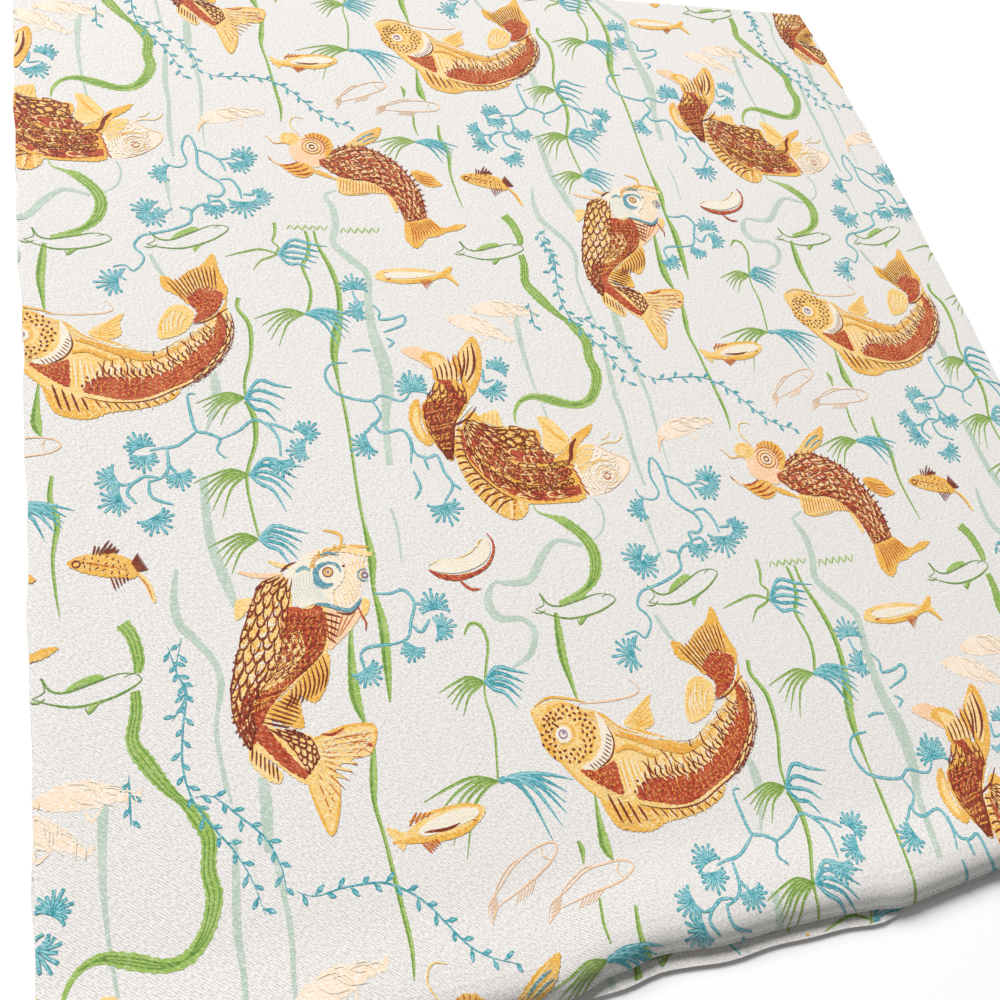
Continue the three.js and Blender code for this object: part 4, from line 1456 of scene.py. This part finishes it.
# %% Branches
BRANCHES = [
    [(12, -92), (13, -96), (20, -99), (25, -95), (23, -84), (26, -74), (29, -76), (31, -86), (31, -98),
     (36, -105), (42, -110), (44, -117), (40, -121), (35, -120), (35, -126), (29, -128), (25, -133),
     (24, -140), (15, -145), (5, -148), (-2, -150), (-6, -157), (-2, -163), (-2, -168), (-7, -174),
     (-11, -170), (-17, -171)],
    [(31, -85), (38, -88), (43, -92), (50, -91), (55, -94)], [(43, -92), (45, -97), (46, -101)],
    [(42, -108), (48, -107.5), (52, -114), (53, -122)], [(54, -119), (60, -119), (60, -116), (64, -115)],
    [(25, -131), (19, -129)], [(35, -125), (41, -124), (42, -127)], [(5, -130), (10, -133), (15, -130)],
    [(-11, -172), (-14, -177), (-11, -180)],
    [(-210, -17), (-213.5, -17), (-213, -27), (-211, -38), (-206, -40), (-200, -44), (-202, -50),
     (-198, -55)],
    [(-211, -39), (-220, -46), (-228, -47), (-233, -48)], [(-225, -47), (-225, -58), (-228, -63),
                                                           (-234, -65)],
    [(-230, -63), (-236, -62), (-241, -65), (-246, -66)], [(-234, -64), (-234, -71), (-231, -75),
                                                           (-224, -78)],
    [(-241, -65), (-244, -70), (-240, -76)], [(-225, -56), (-221, -62)],
    [(-200, -44), (-191, -40), (-183, -34), (-176, -38), (-172, -46), (-172, -56)],
    [(-178, -36), (-170, -39), (-164, -43)],
    [(97, -238), (88, -239), (84.5, -246), (88, -256), (97, -261), (107, -263), (112, -260), (123, -264),
     (129, -257)],
    [(107, -263), (110, -272), (106, -278), (110, -283), (120, -282), (123, -291), (121, -302)],
    [(106, -276), (101, -282)], [(107, -190), (108, -196), (112, -200)], [(112, -205), (103, -206)],
    [(117, -200), (120, -205), (119, -210), (126, -210), (133, -208), (132, -214), (120, -219)],
    [(121, -223), (124.5, -226), (121, -229)], [(101, -231), (106, -230), (111, -231)],
    [(-105, -50), (-104, -60), (-98, -63), (-93, -62), (-91, -72), (-88, -80), (-93, -88), (-96, -93)],
    [(-100, -62), (-99, -70)], [(-89, -78), (-84, -83)], [(-107, -70), (-105, -80), (-109, -86)],
    [(-57, -10), (-58, -18), (-52, -17)], [(-62, -22), (-60, -27)],
    [(-137, -134), (-130, -135), (-123, -134), (-119, -141), (-122, -150), (-125, -158), (-132, -160)],
    [(-122, -152), (-118, -156), (-113, -150)], [(-148, -163), (-144, -160), (-132, -160)],
    [(-148, -163), (-147, -170)],
]
SPRAYS = [(58, -88, 60, 8), (55, -97, -70, 7), (54, -129, -90, 9), (65, -121, 0, 7), (38, -131, -90, 7),
          (0, -130, 160, 8), (5, -137, -60, 8), (10, -104, 180, 7), (-19, -181, 180, 9),
          (-238, -43, 110, 7), (-236, -54, -90, 7), (-252, -62, 200, 7), (-250, -74, 200, 8),
          (-220, -65, -80, 7), (-231, -87, -60, 8), (-157, -42, 40, 7), (-163, -53, 180, 7),
          (108, -185, 90, 8), (107, -204, 180, 7), (130, -252, 90, 8), (98, -290, 200, 8),
          (-99, -18, 90, 9), (-48, -8, 60, 7), (-53, -25, -60, 8), (-94, -95, -80, 9), (-110, -142, 90, 8),
          (-107, -155, 0, 7), (-145, -173, -60, 7), (-124, -165, -120, 6), (-172, -62, -90, 7)]
for points in BRANCHES:
    line("teal", points, 1.5, 0.6)
    line("sky", points, 0.5, 0.6)
for x, y, facing, reach in SPRAYS:
    spray((x, y), facing, reach)

VINES = [[(4, 92), (1, 78), (4.5, 68), (2, 52), (1, 36), (4, 22), (11, 10), (18, 0), (24, -12), (28, -26)],
         [(-2, 89), (1, 77), (4, 66), (-2, 56)],
         [(41, -20), (48, -23), (60, -22), (75, -23), (85, -28), (92, -34), (99, -43), (106, -52),
          (114, -58), (126, -63)],
         [(5, 23), (12, 22), (22, 12), (31, 2), (36, -10), (37, -20)], [(-20, 36), (-20, 24), (-20, 16)]]
for stem in VINES:
    sprig(stem)
print(len(BRANCHES), "branches,", len(SPRAYS), "sprays,", len(VINES), "vines")

# %% [markdown]
# ## Weaving the figures in
# The repeat is a half drop: each copy is half a repeat across and half a repeat along from the last.
# All copies that touch a stretch of cloth are joined, cut at its ends, divided finely where it bends,
# and laid on the face. Each weft lies two hundredths of a millimetre above the one before, so that no
# two colours share a surface.

# %% Weave each stretch of cloth
REPEAT_X, REPEAT_Y = 457.0, 473.0
ACROSS_HALVES, ALONG_HALVES = range(-3, 4), range(-9, 5)  # half repeats that can reach the cloth
WEFT_ORDER = ["sage", "blush", "lime", "fern", "teal", "sky", "peach", "straw", "gold", "copper", "rust",
              "honey", "cream", "mist", "umber", "mauve", "amber", "marine"]
STROKE_STEPS = 7  # strokes of one colour lie at this many heights, by turns
LONGEST_EDGE, HALVINGS = 9, 5


def joined(weft):
    """All of one colour in the repeat. Long edges are halved, so that they follow the cloth's swells."""
    points, triangles, count = [], [], 0
    for k, (piece, corners) in enumerate(DRAWN[weft]):
        points.append(np.column_stack([piece, np.full(len(piece), k % STROKE_STEPS)]))
        triangles.append(corners + count)
        count += len(piece)
    points, triangles = np.concatenate(points), np.concatenate(triangles)
    edge_a = points[triangles[:, 1]] - points[triangles[:, 0]]
    edge_b = points[triangles[:, 2]] - points[triangles[:, 0]]
    turned = edge_a[:, 0] * edge_b[:, 1] - edge_a[:, 1] * edge_b[:, 0]
    triangles[turned < 0] = triangles[turned < 0][:, ::-1]
    triangles = triangles[np.abs(turned) > 1e-4]
    for _ in range(HALVINGS):
        corners = points[triangles]
        sides = np.linalg.norm((corners - np.roll(corners, -1, 1))[..., :2], axis=2)
        longest = sides.argmax(1)
        long = sides.max(1) > LONGEST_EDGE
        if not long.any():
            break
        rest, big = triangles[~long], triangles[long]
        first = longest[long]
        rows = np.arange(len(big))
        a, b, c = big[rows, first], big[rows, (first + 1) % 3], big[rows, (first + 2) % 3]
        middle = len(points) + rows
        points = np.concatenate([points, (points[a] + points[b]) / 2])
        triangles = np.concatenate([rest, np.stack([a, middle, c], 1), np.stack([middle, b, c], 1)])
    return points, triangles


REPEAT = {weft: joined(weft) for weft in WEFT_ORDER}
print("one repeat has", {weft: len(t) for weft, (p, t) in REPEAT.items()}, "triangles")
REACH = WIDTH / 2 + 3  # a little more than the cloth's widest half


def copies(points, triangles, low, high):
    """The half-drop copies of a colour that lie at least partly between two places along the cloth."""
    all_points, all_triangles, count = [], [], 0
    corners = points[triangles]
    for i in ACROSS_HALVES:
        for j in ALONG_HALVES:
            if (i + j) % 2:
                continue
            shift = np.array([i * REPEAT_X / 2, j * REPEAT_Y / 2, 0])
            x, v = (corners + shift)[..., 0], (corners + shift)[..., 1]
            used = (v.max(1) > low) & (v.min(1) < high) & (x.max(1) > -REACH) & (x.min(1) < REACH)
            if not used.any():
                continue
            kept, index = np.unique(triangles[used], return_inverse=True)
            all_points.append(points[kept] + shift)
            all_triangles.append(index.reshape(-1, 3) + count)
            count += len(kept)
    if not all_points:
        return np.zeros((0, 3)), np.zeros((0, 3), int)
    return np.concatenate(all_points), np.concatenate(all_triangles)


def cut(points, triangles, low, high, slices):
    """Cuts the flat figures at the ends of a stretch, and across it at each slice."""
    mesh = bmesh.new()
    made = [mesh.verts.new(point) for point in points]
    for corners in triangles:
        mesh.faces.new([made[k] for k in corners])
    for place, drop in ((low, -1), (high, 1)):
        geometry = mesh.verts[:] + mesh.edges[:] + mesh.faces[:]
        bmesh.ops.bisect_plane(mesh, geom=geometry, plane_co=(0, place, 0), plane_no=(0, drop, 0),
                               clear_outer=True)
    for place in slices:
        geometry = mesh.verts[:] + mesh.edges[:] + mesh.faces[:]
        bmesh.ops.bisect_plane(mesh, geom=geometry, plane_co=(0, place, 0), plane_no=(0, 1, 0))
    mesh.verts.index_update()
    flat = np.array([vertex.co[:] for vertex in mesh.verts])
    faces = [[vertex.index for vertex in face.verts] for face in mesh.faces]
    mesh.free()
    return flat, faces


SHORT = 1.3  # figures stop this far short of the cut ends
INSET = 0.4  # and this far short of the cut sides
FOLD_SLICE, EASE_SLICE = 0.8, 3  # figures are divided this finely on the folds, and where the top rises
FIRST_LIFT, FOLDED_LIFT = 0.05, 0.1  # the lowest weft stands this far above the face, more where it bends
WEFT_LIFT, STROKE_LIFT = 0.02, 0.0025  # the step from weft to weft, and from stroke to stroke in one weft


def weave(run, weft):
    stop, start = sorted(LIMITS[run])
    if run == "top":
        start -= SHORT
    if run == "bottom":
        stop += SHORT
    points, triangles = copies(*REPEAT[weft], stop, start)
    if not len(points):
        return None
    folded = run in ("roll", "bend")
    slices = np.arange(stop + FOLD_SLICE / 2, start - FOLD_SLICE / 4, FOLD_SLICE) if folded else []
    if run == "top":
        slices = np.arange(stop + EASE_SLICE, stop + ROLL_EASE, EASE_SLICE)
    flat, faces = cut(points, triangles, stop, start, slices)
    x, v, order = flat.T
    low, high = left_edge(v) + INSET, right_edge(v) - INSET
    outside = (x < low) | (x > high)
    x = np.clip(x, low, high)
    faces = [face for face in faces if not all(outside[k] for k in face)]
    if not faces:
        return None
    used = np.unique([k for face in faces for k in face])
    renumber = np.zeros(len(x), int)
    renumber[used] = np.arange(len(used))
    lift = THICK / 2 + (FOLDED_LIFT if folded else FIRST_LIFT)
    lift = lift + WEFT_LIFT * WEFT_ORDER.index(weft) + STROKE_LIFT * order[used]
    mesh = bpy.data.meshes.new(f"{run}_{weft}_weft")
    mesh.from_pydata(on_cloth(x[used], v[used], lift).tolist(), [],
                     [renumber[face].tolist() for face in faces])
    give_uv(mesh, flat[used, :2])
    mesh.polygons.foreach_set("use_smooth", [True] * len(mesh.polygons))
    mesh.materials.append(WEFT_FINISH[weft])
    return link(mesh.name, mesh)

# %% [markdown]
# ## Weft finishes
# A brocade weft is many short floats side by side. Each finish mixes the yarn's colour with a darker
# tone of it in thin bars across the cloth, where the floats are tied down and the ground shows.

# %% Weft finishes
def weft_finish(name, yarn, tied, bare, amount=0.7, flecks=0.6):
    """yarn is the float's colour, tied the darker tone between floats, bare what shows through."""
    yarn, tied, bare = paint(*yarn), paint(*tied), paint(*bare)
    finish = Finish(name + "_weft", roughness=0.8, sheen=0.1)
    floats = finish.noise(finish.cloth_place(turn=-8, stretch=(0.8, 1.7)), 0.75, 2.0)
    picks = finish.noise(finish.cloth_place(turn=TWILL_SLANT, stretch=(0.7, 2.2)), 0.6, 1.0)
    wear = finish.noise(finish.cloth_place(), 0.09, 3.0)
    tie = (1 - finish.ramp(floats, 0.38, 0.50, 1.0)) * amount
    shown = finish.ramp(picks, 0.53, 0.66, flecks)
    faded = finish.ramp(wear, 0.42, 0.75, 0.3)
    colour = finish.mix(tie, yarn, tied)
    colour = finish.mix(shown, colour, bare)
    finish.colour(finish.mix(faded, colour, bare))
    finish.raise_by(floats * 0.6 + picks * 0.4, 0.0003, 0.8)
    return finish.material


# Each yarn's own colour, the darker tone of its ties and what shows through it. Some also have their own
# strength of ties and of flecks.
YARNS = {
    "sage": [(180, 197, 182), (164, 184, 168), (222, 226, 218)],
    "blush": [(242, 218, 192), (236, 204, 172), (240, 236, 230), 0.5, 1.0],
    "lime": [(150, 182, 88), (122, 158, 72), (198, 210, 154)],
    "fern": [(104, 142, 62), (90, 122, 56), (170, 190, 110)],
    "sky": [(136, 196, 202), (80, 160, 170), (190, 220, 220)],
    "teal": [(66, 154, 164), (52, 130, 142), (160, 206, 208), 0.7, 0.8],
    "peach": [(240, 198, 156), (228, 176, 130), (246, 226, 204)],
    "straw": [(238, 200, 120), (226, 172, 74), (246, 230, 194)],
    "gold": [(230, 174, 70), (210, 142, 50), (244, 214, 146)],
    "copper": [(190, 98, 40), (160, 70, 32), (228, 160, 84)],
    "cream": [(236, 226, 206), (224, 206, 174), (236, 232, 222)],
    "rust": [(178, 66, 36), (112, 34, 26), (220, 136, 92), 0.9, 0.8],
    "umber": [(118, 44, 30), (84, 28, 26), (176, 92, 54), 0.6, 0.5],
    "mauve": [(146, 108, 136), (110, 80, 110), (196, 176, 196)],
    "mist": [(196, 208, 204), (176, 194, 192), (226, 230, 226)],
    "honey": [(240, 206, 136), (226, 178, 92), (246, 230, 196)],
    "amber": [(226, 162, 60), (204, 124, 42), (240, 204, 136)],
    "marine": [(92, 148, 162), (74, 122, 140), (176, 200, 204), 0.8, 0.8],
}
WEFT_FINISH = {weft: weft_finish(weft, *tones) for weft, tones in YARNS.items()}
FIGURES = {run: [piece for piece in (weave(run, weft) for weft in WEFT_ORDER) if piece] for run in SHEETS}
for run, pieces in FIGURES.items():
    print(run, {piece.name: len(piece.data.polygons) for piece in pieces})

# %% [markdown]
# ## Floor and light
# The cloth lies on a plain white floor. One broad soft light stands far off beyond its far left side, as a
# window would, so the roll at the near edge turns into shade. A dim even sky fills the rest.

# %% Floor and light
FLOOR_HALF, FLOOR_DROP = 6, 0.0005
SKY_STRENGTH = 0.2


def make_floor():
    mesh = bpy.data.meshes.new("floor")
    corners = [(x * FLOOR_HALF, y * FLOOR_HALF, 0) for x, y in ((-1, -1), (1, -1), (1, 1), (-1, 1))]
    mesh.from_pydata(corners, [], [(0, 1, 2, 3)])
    floor = link("floor", mesh)
    finish = Finish("white_floor", roughness=0.8)
    finish.shader.inputs["Base Color"].default_value = (0.92, 0.92, 0.92, 1)
    mesh.materials.append(finish.material)
    floor.location.z = -FLOOR_DROP


def make_light(name, place, aim, size, power):
    data = bpy.data.lights.new(name, "AREA")
    data.shape = "DISK"
    data.size = size
    data.energy = power
    light = bpy.data.objects.new(name, data)
    light.location = place
    light.rotation_euler = (Vector(aim) - Vector(place)).to_track_quat("-Z", "Y").to_euler()
    bpy.context.collection.objects.link(light)


def make_sky():
    world = bpy.data.worlds.new("sky")
    world.use_nodes = True
    background = world.node_tree.nodes["Background"]
    background.inputs["Color"].default_value = (1, 1, 1, 1)
    background.inputs["Strength"].default_value = SKY_STRENGTH
    bpy.context.scene.world = world


make_floor()
make_sky()
make_light("window", place=(-4, 7, 5.6), aim=(0, 0, 0), size=4.1, power=1640)
bpy.context.scene.view_settings.view_transform = "Standard"
print("floor, sky and one window light")

# %% [markdown]
# ## Joining the cloth to the frame
# The three layers ride on the frame's bodies. The roll and the bend cross a joint, so they stay where they
# are built and ride on no body, and the figures on them do the same.

# %% Bodies and folds
FOLDS = {"roll": ("middle", "top", ROLL_Y, ROLL_MID, ROLL_RISE),
         "bend": ("bottom", "middle", BEND_Y, BEND_MID, BEND_RISE)}


def attach(piece, run):
    if run in FOLDS:
        lower, upper, y, z, rise = FOLDS[run]
        y * MM
        (z - rise) * MM
        y * MM
        (z + rise) * MM
        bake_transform(piece)
    else:
        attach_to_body(piece, run)


CARP_NODES = [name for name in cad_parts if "carp" in name]
STANDS_FOR = {"top": ["top_layer", *CARP_NODES], "roll": ["near_fold_lower", "near_fold_upper"],
              "middle": ["middle_layer"], "bend": ["far_fold_lower", "far_fold_upper"],
              "bottom": ["bottom_layer"]}
for run, sheet in SHEETS.items():
    attach(sheet, run)
    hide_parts(*STANDS_FOR[run])
    for figure in FIGURES.get(run, []):
        attach(figure, run)
    start, stop = LIMITS[run]
    abs(start - stop) * MM
    [] if run == "bottom" else ["bottom_cloth"]
print("attached", len(SHEETS), "sheets and", sum(len(f) for f in FIGURES.values()), "figure pieces")
